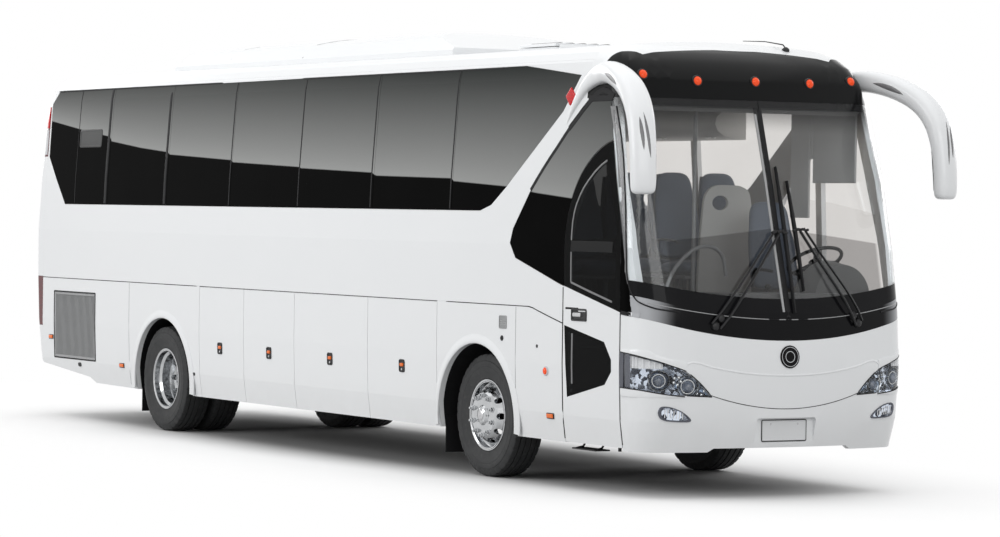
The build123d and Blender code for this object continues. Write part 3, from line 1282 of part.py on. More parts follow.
with BuildPart() as dashboard:
    with BuildSketch(Plane.XZ.offset(-HALF_WIDTH)):
        add(
            side_face(
                (5380.0, DECK_Z),
                (NOSE_X, DECK_Z),
                (NOSE_X, DASH_TOP),
                (5300.0, DASH_TOP),
                (5240.0, DASH_TOP - 60),
                (5290.0, DASH_TOP - 260),
            )
        )
    extrude(amount=HALF_WIDTH - DASH_RIGHT_Y)
    with BuildSketch(Plane.YZ.offset(5340)):
        with Locations((WHEEL_CENTRE[1] - 20, DASH_TOP - 40)):
            Circle(BINNACLE_RADIUS)
    extrude(amount=230, taper=8)
    add(LINING, mode=Mode.INTERSECT)
    with BuildSketch(COLUMN_PLANE.offset(-45 - RUN_GAP)):
        Circle(38)
    extrude(amount=-(WHEEL_CENTRE[2] - DECK_Z - 30) / cos(TILT))
    with BuildSketch(Plane.XY.offset(DECK_Z - FLOOR_THICK * 3)):
        Rectangle(FAR * 10, FAR * 4)
    extrude(amount=FLOOR_THICK * 3, mode=Mode.SUBTRACT)
save(dashboard.part, "dashboard")

SEAT_ROWS = 12
SEAT_PITCH = 785.0
FIRST_ROW_X = 3560.0
SEAT_SPAN = (255.0, HALF_WIDTH - 110)


def seat_face(x, floor):
    """Side view of a high-backed seat whose cushion starts at x."""
    return side_face(
        (x - 30, floor + 330),
        (x + 440, floor + 350),
        (x + 460, floor + 400),
        (x + 440, floor + 455),
        (x + 70, floor + 450),
        (x - 90, floor + 1190),
        (x - 160, floor + 1215),
        (x - 205, floor + 1180),
        (x - 60, floor + 450),
    )


with BuildPart() as passenger_seats:
    for row in range(SEAT_ROWS):
        x = FIRST_ROW_X - row * SEAT_PITCH
        for side_name, side in SIDES:
            with BuildSketch(Plane.XZ.offset(-side * SEAT_SPAN[0])):
                add(seat_face(x, FLOOR_Z))
            extrude(amount=-side * (SEAT_SPAN[1] - SEAT_SPAN[0]))
            with Locations((x + 200, side * (SEAT_SPAN[0] + SEAT_SPAN[1]) / 2, FLOOR_Z + 175)):
                Box(90, SEAT_SPAN[1] - SEAT_SPAN[0] - 210, 350)
    with BuildSketch(Plane.XZ.offset(-SEAT_SPAN[1])):
        add(seat_face(FIRST_ROW_X - SEAT_ROWS * SEAT_PITCH, FLOOR_Z))
    extrude(amount=2 * SEAT_SPAN[1])
    with Locations((FIRST_ROW_X - SEAT_ROWS * SEAT_PITCH + 200, 0, FLOOR_Z + 175)):
        Box(90, 2 * SEAT_SPAN[1] - 200, 350)
save(passenger_seats.part, "passenger_seats")

DRIVER_X = 4560.0

with BuildPart() as driver_seat:
    with BuildSketch(Plane.XZ.offset(-WHEEL_CENTRE[1] - 250)):
        add(seat_face(DRIVER_X, DECK_Z))
    extrude(amount=500)
    with Locations((DRIVER_X + 180, WHEEL_CENTRE[1], DECK_Z + 175)):
        Box(320, 320, 350)
save(driver_seat.part, "driver_seat")

RACK_Z = 3050.0

with BuildPart() as luggage_racks:
    for side_name, side in SIDES:
        with Locations(((SIDE_REAR_X + DECK_REAR_X) / 2 + 60, side * (770 + HALF_WIDTH) / 2, RACK_Z)):
            Box(DECK_REAR_X - SIDE_REAR_X - 200, HALF_WIDTH - 770, 40)
    add(LINING, mode=Mode.INTERSECT)
save(luggage_racks.part, "luggage_racks")

# ---- mirrors and wipers -----------------------------------------------------------
MIRROR_ROOT = (4790.0, HALF_WIDTH - 125)
MIRROR_REACH = (6015.0, HALF_WIDTH + 165)
ARM_SECTION = (60.0, 70.0)
HEAD_BOTTOM = 2365.0

# Mirror head sections: height, length, width.
HEAD_SECTIONS = ((2870, 120, 110), (2800, 150, 170), (2600, 155, 205), (2430, 140, 200), (HEAD_BOTTOM, 110, 160))
ARM_RUN = sqrt((MIRROR_REACH[0] - MIRROR_ROOT[0]) ** 2 + (MIRROR_REACH[1] - MIRROR_ROOT[1]) ** 2)

with BuildPart() as mirrors:
    for side_name, side in SIDES:
        along = (
            (MIRROR_REACH[0] - MIRROR_ROOT[0]) / ARM_RUN,
            side * (MIRROR_REACH[1] - MIRROR_ROOT[1]) / ARM_RUN,
            0,
        )
        arm_plane = Plane(
            origin=(MIRROR_ROOT[0], side * MIRROR_ROOT[1], 0),
            x_dir=along,
            z_dir=(along[1], -along[0], 0),
        )
        with BuildLine(arm_plane) as arm_path:
            crest = ThreePointArc((60, 3290), (620, 3380), (ARM_RUN - 170, 3190))
            TangentArc(crest @ 1, (ARM_RUN, 2820), tangent=crest % 1)
        arm_line = arm_path.wires()[0]
        with BuildSketch(Plane(origin=arm_line @ 0, z_dir=arm_line % 0)):
            Ellipse(*ARM_SECTION)
        sweep(path=arm_line)
        for height, length, width in HEAD_SECTIONS:
            with BuildSketch(Plane.XY.offset(height)):
                with Locations((MIRROR_REACH[0], side * MIRROR_REACH[1])):
                    RectangleRounded(length, width, 45)
        loft(ruled=True)
    add(SKIN, mode=Mode.SUBTRACT)
save(mirrors.part, "mirrors")

# Wipers: parked upright beside the middle post, from a pivot near each end of the panel.
WIPER_PIVOTS = ((-640.0, 1395.0), (600.0, 1395.0))
WIPER_BLADES = (((-95.0, 1560.0), (-45.0, 2650.0)), ((95.0, 1560.0), (60.0, 2650.0)))
WIPER_LIFT = 24.0
BLADE_WIDTH = 22.0
WIPER_ARM = 26.0
PIVOT_RADIUS = 34.0
WIPER_LAYER = layer(body_form(-WIPER_LIFT), SKIN)


def bar_face(start, end, width):
    """A straight bar in a plane view, between two points."""
    run = sqrt((end[0] - start[0]) ** 2 + (end[1] - start[1]) ** 2)
    sx = width / 2 * (end[1] - start[1]) / run
    sy = width / 2 * (end[0] - start[0]) / run
    return side_face(
        (start[0] - sx, start[1] + sy),
        (start[0] + sx, start[1] - sy),
        (end[0] + sx, end[1] - sy),
        (end[0] - sx, end[1] + sy),
    )


with BuildPart() as wipers:
    with BuildSketch(Plane.YZ.offset(FRONT_SEAM_X)):
        for pivot, (low, high) in zip(WIPER_PIVOTS, WIPER_BLADES):
            middle = ((low[0] + high[0]) / 2, (low[1] + high[1]) / 2)
            with Locations(pivot):
                Circle(PIVOT_RADIUS)
            add(bar_face(pivot, middle, WIPER_ARM))
            add(bar_face(low, high, BLADE_WIDTH))
    extrude(amount=FAR)
    add(WIPER_LAYER, mode=Mode.INTERSECT)
save(wipers.part, "wipers")
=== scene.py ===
import math

import bmesh
import bpy
from mathutils import Matrix, Vector
from mathutils.bvhtree import BVHTree


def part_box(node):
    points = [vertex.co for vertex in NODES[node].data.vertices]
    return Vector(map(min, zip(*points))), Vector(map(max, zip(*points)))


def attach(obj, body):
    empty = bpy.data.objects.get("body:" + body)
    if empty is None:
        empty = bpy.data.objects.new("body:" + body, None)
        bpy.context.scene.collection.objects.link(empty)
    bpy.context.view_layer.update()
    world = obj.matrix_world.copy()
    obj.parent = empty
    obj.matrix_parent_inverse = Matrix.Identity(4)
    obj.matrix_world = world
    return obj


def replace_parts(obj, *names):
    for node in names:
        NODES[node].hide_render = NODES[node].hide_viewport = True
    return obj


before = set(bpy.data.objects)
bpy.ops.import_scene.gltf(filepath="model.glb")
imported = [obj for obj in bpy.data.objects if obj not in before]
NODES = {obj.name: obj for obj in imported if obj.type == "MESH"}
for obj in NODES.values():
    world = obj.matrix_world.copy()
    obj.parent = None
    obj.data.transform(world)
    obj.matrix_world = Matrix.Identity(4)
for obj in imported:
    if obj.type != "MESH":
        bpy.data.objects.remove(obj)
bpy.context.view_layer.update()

# A high-deck coach. Metres, +X forward, +Y to the left, +Z up.
SIDES = (("right", -1), ("left", 1))
CHASSIS = "chassis"
TURN = 2 * math.pi
UP = Vector((0, 0, 1))
FORWARD = Vector((1, 0, 0))


# ---- materials ---------------------------------------------------------------
class Tree:
    """Node helpers for one material or world."""

    def __init__(self, owner):
        owner.use_nodes = True
        self.nt = owner.node_tree

    def add(self, kind, inputs=None, **settings):
        node = self.nt.nodes.new(kind)
        for key, value in settings.items():
            setattr(node, key, value)
        for key, value in (inputs or {}).items():
            self.set(node.inputs[key], value)
        return node

    def set(self, socket, value):
        if isinstance(value, bpy.types.NodeSocket):
            self.nt.links.new(value, socket)
        elif isinstance(value, (tuple, list)) and len(value) == 3 and socket.type == "RGBA":
            socket.default_value = (*value, 1.0)
        else:
            socket.default_value = value

    def math(self, op, a, b=0.0, c=0.0, clamp=False):
        node = self.add("ShaderNodeMath", {0: a, 1: b, 2: c}, operation=op, use_clamp=clamp)
        return node.outputs[0]

    def plus(self, a, b):
        return self.math("ADD", a, b)

    def minus(self, a, b):
        return self.math("SUBTRACT", a, b)

    def times(self, a, b):
        return self.math("MULTIPLY", a, b)

    def absolute(self, a):
        return self.math("ABSOLUTE", a)

    def most(self, *values):
        """The largest of several values."""
        top = values[0]
        for value in values[1:]:
            top = self.math("MAXIMUM", top, value)
        return top

    def object_coords(self):
        return self.add("ShaderNodeTexCoord").outputs["Object"]

    def normal(self):
        return self.split(self.add("ShaderNodeNewGeometry").outputs["Normal"])

    def split(self, vector):
        return self.add("ShaderNodeSeparateXYZ", {0: vector}).outputs

    def noise(self, vector, scale, detail=2.0, roughness=0.5):
        inputs = {"Vector": vector, "Scale": scale, "Detail": detail, "Roughness": roughness}
        return self.add("ShaderNodeTexNoise", inputs).outputs["Fac"]

    def wave(self, vector, scale, along, **inputs):
        inputs = {"Vector": vector, "Scale": scale, **inputs}
        return self.add("ShaderNodeTexWave", inputs, bands_direction=along).outputs["Fac"]

    def mix(self, fac, a, b):
        node = self.add("ShaderNodeMix", data_type="RGBA")
        for index, value in ((0, fac), (6, a), (7, b)):
            self.set(node.inputs[index], value)
        return node.outputs[2]

    def step(self, value, low, high):
        """0 below low and 1 above high, smooth between."""
        inputs = {"Value": value, "From Min": low, "From Max": high}
        return self.add("ShaderNodeMapRange", inputs, interpolation_type="SMOOTHSTEP").outputs[0]

    def fall(self, value, low, high):
        """1 below low and 0 above high, smooth between."""
        return self.minus(1.0, self.step(value, low, high))

    def scale_range(self, value, low, high):
        return self.add("ShaderNodeMapRange", {"Value": value, "To Min": low, "To Max": high}).outputs[0]

    def bump(self, height, strength, distance):
        inputs = {"Height": height, "Strength": strength, "Distance": distance}
        return self.add("ShaderNodeBump", inputs).outputs[0]

    def mix_shader(self, fac, a, b):
        return self.add("ShaderNodeMixShader", {0: fac, 1: a.outputs[0], 2: b.outputs[0]})

    def show(self, shader):
        self.set(self.nt.nodes["Material Output"].inputs["Surface"], shader.outputs[0])

    def seen(self):
        """1 for the rays that show the backdrop, and 0 for those that light the coach."""
        rays = self.add("ShaderNodeLightPath").outputs
        return self.most(rays["Is Camera Ray"], rays["Is Glossy Ray"], rays["Is Transmission Ray"])


class Surface(Tree):
    """The nodes of a new material round its Principled shader."""

    def __init__(self, name):
        self.material = bpy.data.materials.new(name)
        super().__init__(self.material)
        self.shader = self.nt.nodes["Principled BSDF"]
        self.at = self.object_coords()

    def done(self, **sockets):
        """Sets the shader's sockets and gives the material."""
        for key, value in sockets.items():
            self.set(self.shader.inputs[key.replace("_", " ")], value)
        return self.material


def shade(colour, factor):
    return tuple(min(1.0, c * factor) for c in colour)


def finish(name, colour, rough, vary=0.08, patch=1.5, grain=None, rough_vary=0.05, worn=None, **sockets):
    """A Principled material whose colour and roughness wander, with a fine grain as bump.
    grain is scale, strength and depth in metres; worn is a second colour for its thin patches."""
    t = Surface(name)
    base = t.mix(t.noise(t.at, patch, 4.0, 0.6), shade(colour, 1 - vary), shade(colour, 1 + vary))
    if worn:
        speck = t.step(t.noise(t.at, patch * 9, 6.0, 0.7), 0.6, 0.75)
        base = t.mix(t.times(speck, 0.6), base, worn)
    low, high = max(0.02, rough - rough_vary), min(1.0, rough + rough_vary)
    if grain:
        scale, strength, depth = grain
        sockets["Normal"] = t.bump(t.noise(t.at, scale, 2.0), strength, depth)
    fine = t.noise(t.at, patch * 12, 3.0)
    return t.done(Base_Color=base, Roughness=t.scale_range(fine, low, high), **sockets)


CABIN_HEIGHT = 2.3


def cabin_side(t, x, y, z):
    """1 where a panel faces the inside of the coach."""
    nx, ny, nz = t.normal()
    outward = t.plus(t.times(ny, y), t.times(nz, t.minus(z, CABIN_HEIGHT)))
    outward = t.plus(outward, t.times(t.times(nx, x), 0.12))
    return t.fall(outward, -0.12, 0.0)


def paint_material(name, panel):
    """Pale grey-white coach paint; a body panel shows warm grey trim on its cabin side."""
    t = Surface(name)
    x, y, z = t.split(t.at)
    skin = t.mix(t.noise(t.at, 0.7, 3.0, 0.55), (0.775, 0.79, 0.805), (0.80, 0.812, 0.822))
    dust = t.times(t.fall(z, 0.36, 0.85), t.noise(t.at, 5.0, 5.0, 0.65))
    base = t.mix(t.times(dust, 0.28), skin, (0.60, 0.60, 0.59))
    if panel:
        lining = t.mix(t.noise(t.at, 26.0, 2.0), (0.44, 0.41, 0.385), (0.50, 0.47, 0.44))
        base = t.mix(cabin_side(t, x, y, z), base, lining)
    return t.done(
        Base_Color=base, Roughness=t.scale_range(t.noise(t.at, 9.0, 3.0), 0.27, 0.36),
        Normal=t.bump(t.noise(t.at, 160.0, 1.0), 0.05, 0.0004),
        Coat_Weight=0.35, Coat_Roughness=0.06, Specular_IOR_Level=0.3,
    )


# Height, along the vehicle, where the painted reflection on the side glass begins; below it the glass is near
# black.
PAINTED_REFLECTION_EDGE = (
    (-6.0, 3.10), (-5.2, 3.00), (-4.43, 2.915), (-4.40, 2.87), (-3.66, 2.797), (-3.02, 2.75), (-2.98, 2.727),
    (-1.57, 2.665), (-1.54, 2.645), (-0.15, 2.596), (-0.11, 2.585), (1.30, 2.542), (1.33, 2.516),
    (2.72, 2.492), (2.75, 2.468), (3.75, 2.42), (4.10, 2.375), (4.70, 2.33), (5.60, 2.20),
)
EDGE_X = (-6.1, 5.7)
EDGE_Z = (2.0, 3.2)
GLASS_TOP = 3.42


def side_glass_material():
    """Privacy glass: near black below, a painted reflection as a grey sheen above, and a painted glow where it
    faces the cabin.
    """
    t = Surface("privacy_glass_painted_light")
    x, y, z = t.split(t.at)
    inputs = {"Value": x, "From Min": EDGE_X[0], "From Max": EDGE_X[1]}
    ramp = t.add("ShaderNodeValToRGB", {0: t.add("ShaderNodeMapRange", inputs).outputs[0]})
    points = ramp.color_ramp.elements
    for i, (ex, ez) in enumerate(PAINTED_REFLECTION_EDGE):
        share = (ex - EDGE_X[0]) / (EDGE_X[1] - EDGE_X[0])
        grey = (ez - EDGE_Z[0]) / (EDGE_Z[1] - EDGE_Z[0])
        point = points[i] if i < 2 else points.new(share)
        point.position = share
        point.color = (grey, grey, grey, 1.0)
    edge = t.scale_range(ramp.outputs[0], *EDGE_Z)
    above = t.minus(z, edge)
    rise = t.math("DIVIDE", above, t.minus(GLASS_TOP, edge), clamp=True)
    # painted reflection: a grey sheen over the upper glass, pale at its edge and darker towards the top and the
    # front
    top = t.mix(t.step(x, -5.5, 4.5), (0.085, 0.088, 0.086), (0.028, 0.031, 0.03))
    painted_sheen = t.mix(t.math("POWER", rise, 0.8), (0.32, 0.325, 0.32), top)
    dark = t.mix(t.noise(t.at, 2.2, 4.0), (0.0015, 0.0015, 0.0015), (0.003, 0.003, 0.003))
    # painted glow: the faces towards the cabin glow pale, as if lit from outside
    inner = t.step(t.times(t.times(t.normal()[1], y), -1.0), 0.5, 0.7)
    return t.done(
        Base_Color=t.mix(t.step(above, -0.006, 0.006), dark, painted_sheen),
        Roughness=t.scale_range(t.noise(t.at, 3.0, 2.0), 0.05, 0.09), Specular_IOR_Level=0.006,
        Emission_Color=t.mix(t.noise(t.at, 1.3, 2.0), (0.70, 0.665, 0.64), (0.76, 0.73, 0.705)),
        Emission_Strength=t.times(inner, 0.95),
    )


def clear_glass(name, tint, black_print=None, rough=0.015, ior=1.38):
    """Thin see-through glass that lets the lamps in. black_print gives a mask of opaque black print, and with it a
    painted reflection that darkens the lower screen.
    """
    t = Surface(name)
    _, y, z = t.split(t.at)
    smear = t.noise(t.at, 3.5, 4.0, 0.6)
    base = t.mix(smear, shade(tint, 0.97), shade(tint, 1.02))
    if black_print:
        # painted reflection: a grey tone below a slanting line, with its edge and both ends faded
        low = t.minus(2.125, t.times(t.absolute(y), 0.115))
        painted_dash_reflection = t.times(t.fall(z, t.minus(low, 0.012), low), 0.62)
        painted_dash_reflection = t.times(painted_dash_reflection, t.fall(t.absolute(y), 0.98, 1.02))
        base = t.mix(painted_dash_reflection, base, (0.22, 0.21, 0.21))
    t.done(Base_Color=base, Roughness=t.scale_range(smear, rough, rough + 0.02), IOR=ior, Transmission_Weight=1.0)
    clear = t.add("ShaderNodeBsdfTransparent", {0: tint})
    rays = t.add("ShaderNodeLightPath").outputs
    pane = t.mix_shader(t.most(rays["Is Shadow Ray"], rays["Is Diffuse Ray"]), t.shader, clear)
    if black_print:
        black = t.add("ShaderNodeBsdfPrincipled", {
            "Base Color": t.mix(smear, (0.004, 0.004, 0.005), (0.008, 0.008, 0.009)),
            "Roughness": 0.12, "Specular IOR Level": 0.1,
        })
        pane = t.mix_shader(black_print(t, y, z), pane, black)
    t.show(pane)
    return t.material


def screen_print(t, y, z):
    """Windscreen print: a black border below, and a paler shade band at the top."""
    low = t.plus(t.times(t.times(y, y), 0.085), 1.565)
    border = t.fall(z, t.minus(low, 0.006), low)
    return t.most(border, t.times(t.step(z, 2.86, 3.10), 0.42))


def seat_material():
    """Woven moquette: crossed threads, a soft fleck, and paler in broad random patches."""
    t = Surface("moquette_blue_grey")
    warp, weft = (t.wave(t.at, 95.0, along, Distortion=1.2, Detail=2.0) for along in "YZ")
    weave = t.times(warp, weft)
    base = t.mix(weave, (0.115, 0.135, 0.175), (0.19, 0.215, 0.265))
    fleck = t.step(t.noise(t.at, 60.0, 3.0), 0.62, 0.68)
    base = t.mix(t.times(fleck, 0.35), base, (0.34, 0.37, 0.43))
    base = t.mix(t.times(t.noise(t.at, 3.0, 3.0), 0.25), base, (0.22, 0.24, 0.28))
    return t.done(
        Base_Color=base, Roughness=t.scale_range(t.noise(t.at, 30.0), 0.8, 0.95),
        Normal=t.bump(weave, 0.4, 0.0015), Sheen_Weight=0.35, Sheen_Roughness=0.4, Specular_IOR_Level=0.2,
    )


def tyre_material():
    """Tyre rubber with a brownish bloom."""
    t = Surface("tyre_rubber")
    base = t.mix(t.noise(t.at, 7.0, 4.0), (0.020, 0.021, 0.022), (0.042, 0.043, 0.044))
    dust = t.step(t.noise(t.at, 22.0, 6.0, 0.7), 0.5, 0.75)
    return t.done(
        Base_Color=t.mix(t.times(dust, 0.35), base, (0.085, 0.083, 0.08)),
        Roughness=t.scale_range(t.noise(t.at, 15.0), 0.55, 0.75),
        Normal=t.bump(t.noise(t.at, 220.0, 3.0), 0.25, 0.0008), Specular_IOR_Level=0.3,
    )


def metal(name, colour, rough, brushed=False, vary=0.05):
    """Bright metal with faint smears, and fine drawn lines if brushed."""
    t = Surface(name)
    smear = t.noise(t.at, 11.0, 5.0, 0.65)
    if brushed:
        lines = t.add("ShaderNodeMapping", {"Vector": t.at, "Scale": (4.0, 4.0, 400.0)}).outputs[0]
        t.done(Normal=t.bump(t.noise(lines, 3.0, 2.0), 0.2, 0.0005))
    return t.done(
        Base_Color=t.mix(smear, shade(colour, 1 - vary), shade(colour, 1 + vary)),
        Roughness=t.scale_range(smear, rough * 0.7, rough * 1.5), Metallic=1.0,
    )


def facet_metal(name, dark, pale, scale):
    """Mirror-like reflector broken into small facets, whose bright and dark colours are a painted reflection."""
    t = Surface(name)
    cells = t.add("ShaderNodeTexVoronoi", {"Vector": t.at, "Scale": scale})
    tone = t.split(cells.outputs["Color"])[0]
    fine = t.noise(t.at, scale * 2.5, 2.0)
    # painted reflection: the facets are coloured bright or dark
    pattern = t.step(t.plus(t.times(tone, 0.75), t.times(fine, 0.25)), 0.30, 0.62)
    return t.done(
        Base_Color=t.mix(pattern, dark, pale), Roughness=t.scale_range(fine, 0.10, 0.30),
        Normal=t.bump(tone, 0.35, 0.002), Metallic=0.75,
    )


def band_material():
    """Gloss black lower screen band whose two ends fade to silver grey as a painted reflection."""
    t = Surface("screen_band")
    y = t.split(t.at)[1]
    # painted reflection: the band turns silver grey towards both ends
    ends = t.times(t.step(t.absolute(y), 0.98, 1.22), t.scale_range(t.noise(t.at, 7.0, 3.0), 0.85, 1.0))
    base = t.mix(t.noise(t.at, 2.2, 4.0), (0.003, 0.003, 0.0035), (0.006, 0.006, 0.007))
    return t.done(
        Base_Color=t.mix(ends, base, (0.44, 0.45, 0.47)),
        Roughness=t.scale_range(t.noise(t.at, 9.0, 3.0), 0.12, 0.2), Specular_IOR_Level=0.1,
    )


def lamp_plastic(name, colour, glow, rib):
    """Coloured lens plastic with a ribbed pattern behind its surface."""
    t = Surface(name)
    ribs = t.wave(t.at, rib, "Z", Distortion=0.3)
    cells = t.add("ShaderNodeTexVoronoi", {"Vector": t.at, "Scale": rib * 2.2}).outputs["Distance"]
    pattern = t.times(ribs, t.scale_range(cells, 1.0, 0.55))
    if glow:
        t.done(Emission_Color=t.mix(pattern, shade(colour, 0.5), colour), Emission_Strength=glow)
    return t.done(
        Base_Color=t.mix(pattern, shade(colour, 0.55), shade(colour, 1.15)),
        Roughness=t.scale_range(cells, 0.05, 0.16), Normal=t.bump(pattern, 0.15, 0.001),
        Coat_Weight=0.15, Specular_IOR_Level=0.25,
    )


FINISHES = {
    "black_gloss": (
        ("black_gloss", (0.004, 0.0042, 0.0045), 0.16, 0.25, 1.2, None, 0.04), {"Specular_IOR_Level": 0.1},
    ),
    "rear_glass": (
        ("rear_glass", (0.006, 0.0065, 0.007), 0.07, 0.3, 1.0, None, 0.02), {"Specular_IOR_Level": 0.12},
    ),
    "black_plastic": (
        ("black_plastic", (0.010, 0.010, 0.011), 0.42, 0.15, 4.0, (420.0, 0.3, 0.0006)),
        {"worn": (0.03, 0.03, 0.032), "Specular_IOR_Level": 0.3},
    ),
    "grey_plastic": (("grey_plastic", (0.19, 0.19, 0.19), 0.5, 0.08, 3.0, (380.0, 0.3, 0.0006)), {}),
    "slat_grey": (
        ("slat_grey", (0.32, 0.325, 0.33), 0.38, 0.1, 5.0, (260.0, 0.15, 0.0005)), {"worn": (0.2, 0.2, 0.2)},
    ),
    "trim": (("cabin_trim", (0.56, 0.55, 0.53), 0.6, 0.06, 2.5, (300.0, 0.35, 0.0007)), {}),
    "black_rubber": (
        ("seal_rubber", (0.008, 0.008, 0.009), 0.6, 0.2, 6.0, (300.0, 0.3, 0.0006)),
        {"worn": (0.02, 0.02, 0.02), "Specular_IOR_Level": 0.2},
    ),
    "grey_rubber": (("grey_rubber", (0.16, 0.16, 0.165), 0.55, 0.15, 6.0, (300.0, 0.2, 0.0004)), {}),
    "vent_trim": (("glass_trim", (0.16, 0.16, 0.165), 0.3, 0.1, 8.0), {}),
    "vent_dark": (("vent_surround", (0.035, 0.036, 0.036), 0.35, 0.1, 5.0), {"Specular_IOR_Level": 0.2}),
    "chassis_paint": (
        ("chassis_paint", (0.02, 0.02, 0.021), 0.5, 0.25, 5.0, (90.0, 0.35, 0.002)), {"worn": (0.09, 0.085, 0.08)},
    ),
    "engine_iron": (
        ("cast_iron", (0.09, 0.09, 0.09), 0.65, 0.25, 7.0, (130.0, 0.7, 0.003)), {"worn": (0.16, 0.12, 0.09)},
    ),
    "floor_board": (
        ("floor_covering", (0.13, 0.13, 0.135), 0.7, 0.12, 4.0, (240.0, 0.5, 0.001)), {"worn": (0.2, 0.2, 0.2)},
    ),
    "blind": (("sun_blind", (0.55, 0.54, 0.53), 0.7, 0.08, 3.0, (300.0, 0.3, 0.0006)), {}),
    "bulb": (("bulb_glass", (0.10, 0.12, 0.16), 0.05, 0.9, 16.0, None, 0.03), {"Coat_Weight": 1.0}),
    "lamp_dark": (
        ("lamp_surround", (0.09, 0.095, 0.115), 0.25, 0.2, 12.0, (200.0, 0.2, 0.0005)), {"Metallic": 0.6},
    ),
    "plate": (("blank_plate", (0.66, 0.67, 0.68), 0.35, 0.04, 6.0, (200.0, 0.1, 0.0003)), {}),
    "ceiling_lamp": (("ceiling_lamp", (0.8, 0.8, 0.78), 0.4, 0.04, 5.0), {}),
}
LENSES = {
    # name: material name, colour, glow and rib scale
    "lamp_red": ("red_lens", (0.62, 0.004, 0.008), 0.12, 26.0),
    "lamp_dark_red": ("dark_red_lens", (0.13, 0.006, 0.01), 0.0, 22.0),
    "amber": ("amber_lens", (0.85, 0.16, 0.012), 0.25, 60.0),
    "orange": ("orange_lens", (1.0, 0.075, 0.006), 0.35, 45.0),
    "white_lens": ("white_lens", (0.75, 0.76, 0.78), 0.0, 40.0),
    "signal_white": ("signal_white", (0.93, 0.945, 0.97), 0.12, 60.0),
}
MAT = {
    "body_paint": paint_material("paint_white", False),
    "panel_paint": paint_material("paint_white_panels", True),
    "dark_glass": side_glass_material(),
    "door_glass": clear_glass("door_glass", (0.055, 0.058, 0.060), ior=1.10),
    "screen": clear_glass("windscreen_glass", (0.93, 0.945, 0.95), screen_print),
    "lens": clear_glass("lamp_lens", (0.96, 0.97, 0.98)),
    "seat_cloth": seat_material(),
    "chrome": metal("polished_rim", (0.50, 0.51, 0.52), 0.11, vary=0.25),
    "bright_steel": metal("satin_steel", (0.5, 0.5, 0.51), 0.3, True),
    "reflector": metal("lamp_reflector", (0.62, 0.68, 0.76), 0.07, vary=0.12),
    "mirror": metal("mirror_glass", (0.75, 0.78, 0.8), 0.02),
    "lamp_chrome": facet_metal("lamp_chrome", (0.035, 0.04, 0.055), (0.70, 0.76, 0.86), 34.0),
    "screen_band": band_material(),
    "tyre": tyre_material(),
    **{name: finish(*values, **more) for name, (values, more) in FINISHES.items()},
    **{name: lamp_plastic(*values) for name, values in LENSES.items()},
}
# the record's slots, and the one that takes each further material
SLOT_TAKES = {
    "dark_glass": "door_glass rear_glass screen",
    "lamp_clear": "lens white_lens bulb signal_white ceiling_lamp",
    "body_paint": "panel_paint plate",
    "chrome": "lamp_chrome reflector mirror",
    "black_gloss": "screen_band",
    "grey_plastic": "blind trim vent_trim slat_grey",
    "black_rubber": "grey_rubber",
    "black_plastic": "vent_dark lamp_dark",
    "lamp_red": "lamp_dark_red amber orange",
}
SLOT_FOR = {name: slot for slot, names in SLOT_TAKES.items() for name in names.split()}


# ---- mesh helpers ---------------------------------------------------------------
def place(obj, mat, body):
    obj.data.materials.append(MAT[mat])
    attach(obj, body)
    return obj


def link(name, data):
    obj = bpy.data.objects.new(name, data)
    bpy.context.scene.collection.objects.link(obj)
    return obj


def crisp(data, sharp):
    """Smooth shading with edges sharper than an angle in degrees kept crisp."""
    data.shade_smooth()
    data.set_sharp_from_angle(angle=math.radians(sharp))


def clean(bm, gap):
    """Joins doubled points and sets the normals outward."""
    bmesh.ops.remove_doubles(bm, verts=bm.verts, dist=gap)
    bmesh.ops.recalc_face_normals(bm, faces=bm.faces)


def solid(name, verts, faces, mat, body=CHASSIS, sharp=35.0):
    """A mesh piece from points and faces."""
    data = bpy.data.meshes.new(name)
    data.from_pydata([tuple(v) for v in verts], [], [tuple(f) for f in faces])
    bm = bmesh.new()
    bm.from_mesh(data)
    clean(bm, 1e-6)
    bm.to_mesh(data)
    bm.free()
    crisp(data, sharp)
    return place(link(name, data), mat, body)


def lerp(a, b, s):
    return a + (b - a) * s


def spaced(start, end, n):
    """n + 1 evenly spaced pairs from start to end."""
    return [tuple(a + (b - a) * i / n for a, b in zip(start, end)) for i in range(n + 1)]


def stepped(start, step, count):
    """count pairs, each one step on from the last."""
    return [tuple(a + d * i for a, d in zip(start, step)) for i in range(count)]


def angles(n, start=0.0):
    return [start + TURN * j / n for j in range(n)]


